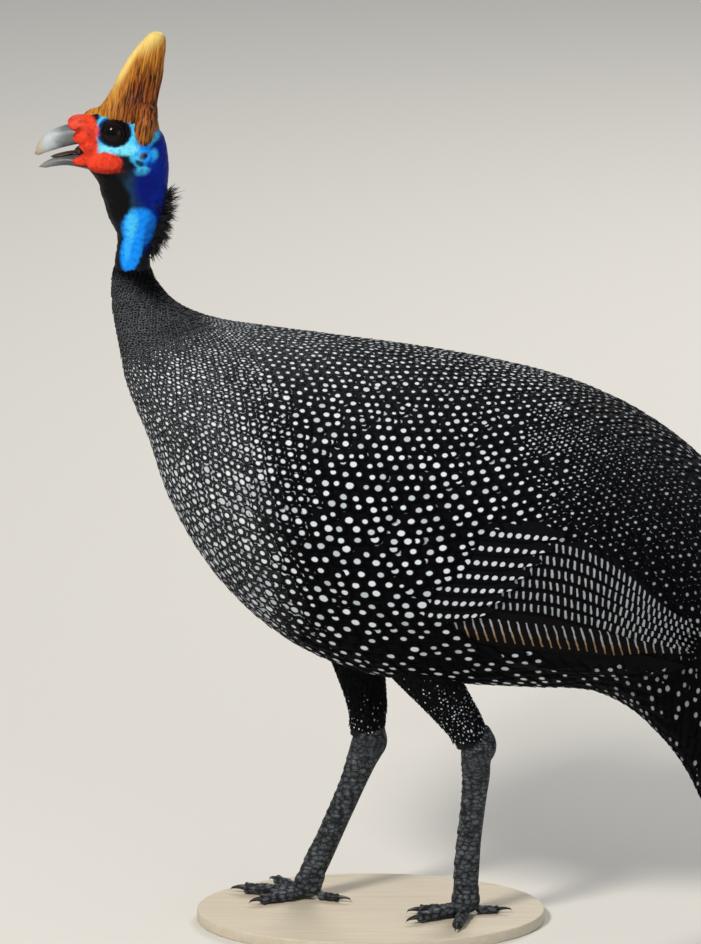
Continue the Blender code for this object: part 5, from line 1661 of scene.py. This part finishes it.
def leg_finish():
    finish = Finish("leg scales", Roughness=0.46, Specular_IOR_Level=0.16)
    place = finish.place()
    cloud = finish.noise(place, 0.4, 3.0, 0.6)
    x, y, z = finish.parts(place)
    heel = finish.ramp(z, 74.0, 86.0)
    size = heel * 0.5 + 0.8
    flat_plates = finish.joined(x * size * 0.50, y * size * 0.50, z * size * 0.85)
    seams = finish.cells(flat_plates, 0.62, "DISTANCE_TO_EDGE", 0.7)
    middles = finish.cells(flat_plates, 0.62, "F1", 0.7)
    colour = finish.blend(finish.ramp(cloud + middles * 0.45, 0.42, 0.90), (0.092, 0.106, 0.120, 1.0),
                          (0.012, 0.0135, 0.015, 1.0))
    crack = 1.0 - finish.ramp(seams, 0.0, 0.12)
    finish.feed("Base Color", finish.blend(crack * 0.8, colour, (0.005, 0.0055, 0.006, 1.0)))
    finish.feed("Roughness", cloud * 0.2 + 0.34)
    finish.bump(finish.ramp(seams, 0.0, 0.2), 0.7, 0.0004)
    return finish


leg_scales = leg_finish()
claw_horn = Finish("claw horn", Base_Color=(0.014, 0.012, 0.011, 1.0), Roughness=0.32)
for side, name in SIDES.items():
    x, y = FOOT_AT[side]
    heart = np.array([x, y * side, 0.0])
    shapes = [shank(side), ball(heart + (0, 0, 7.8), (7.3, 6.3, 7.6), 40, 26),
              ball(heart + (2.0 if side == RIGHT else 0.2, 0, 12.5), (6.6, 5.4, 8.5), 40, 26),
              ball(np.array(TARSUS[side][2][:3]) * (1, side, 1) + (0.8, 0, 2.0), (8.9, 7.0, 10.5), 40, 26)]
    claws = []
    for label, toe in TOES[side].items():
        heading = toe_heading(toe[0], side)
        start = heart + heading * 2.0 + (0, 0, HIND_START if label == "hind" else TOE_START)
        shapes.append(toe_shape(start, toe, side))
        root = start + heading * (toe[1] - 1.0)
        root[2] = toe[2] * TOE_SIT
        claws.append(claw_shape(root, heading, toe[2], toe[4]))
    leg = remeshed(gather(shapes), LEG_VOXEL, 1)
    add_piece("leg_" + name, leg, leg_scales, ["tarsus_" + name, "foot_" + name], 60.0)
    add_piece("claws_" + name, gather(claws), claw_horn,
              ["claw_" + label + "_" + name for label in TOES[side]])

# %% [markdown]
# The bird would tip over on its own toes, so it stands on a plain oval board. The board is a
# cylinder that is stretched to an oval, and its edges are eased by a bevel.

# %% Board
BASE_AT, BASE_HALF, BASE_THICKNESS, GAP = (-14.5, -2.3), (88.0, 58.0), 6.0, 0.3
board = bmesh.new()
bmesh.ops.create_cone(board, cap_ends=True, segments=160, radius1=1.0, radius2=1.0, depth=BASE_THICKNESS)
bmesh.ops.scale(board, vec=(*BASE_HALF, 1.0), verts=board.verts)
bmesh.ops.translate(board, vec=(*BASE_AT, -GAP - BASE_THICKNESS / 2), verts=board.verts)
rims = [edge for edge in board.edges if len({face for face in edge.link_faces if len(face.verts) > 4}) == 1]
bmesh.ops.bevel(board, geom=rims, offset=0.8, offset_type="OFFSET", segments=4, profile=0.5,
                affect="EDGES", material=-1)


def board_finish():
    finish = Finish("pale board", Roughness=0.62)
    x, y, z = finish.parts(finish.place())
    grain = finish.noise(finish.joined(x * 0.02, y * 0.35, z * 0.35), 1.0, 4.0, 0.6, 0.6)
    finish.feed("Base Color", finish.blend(grain, (0.46, 0.39, 0.29, 1.0), (0.66, 0.59, 0.47, 1.0)))
    finish.bump(grain, 0.25, 0.0003)
    return finish


add_piece("board", board, board_finish(), ["stand_base"], 40.0)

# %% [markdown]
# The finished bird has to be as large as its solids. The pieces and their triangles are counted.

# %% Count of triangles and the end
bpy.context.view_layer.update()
total = sum(len(made.data.loop_triangles) for made in pieces.values())
print("pieces:", len(pieces), "triangles:", total)
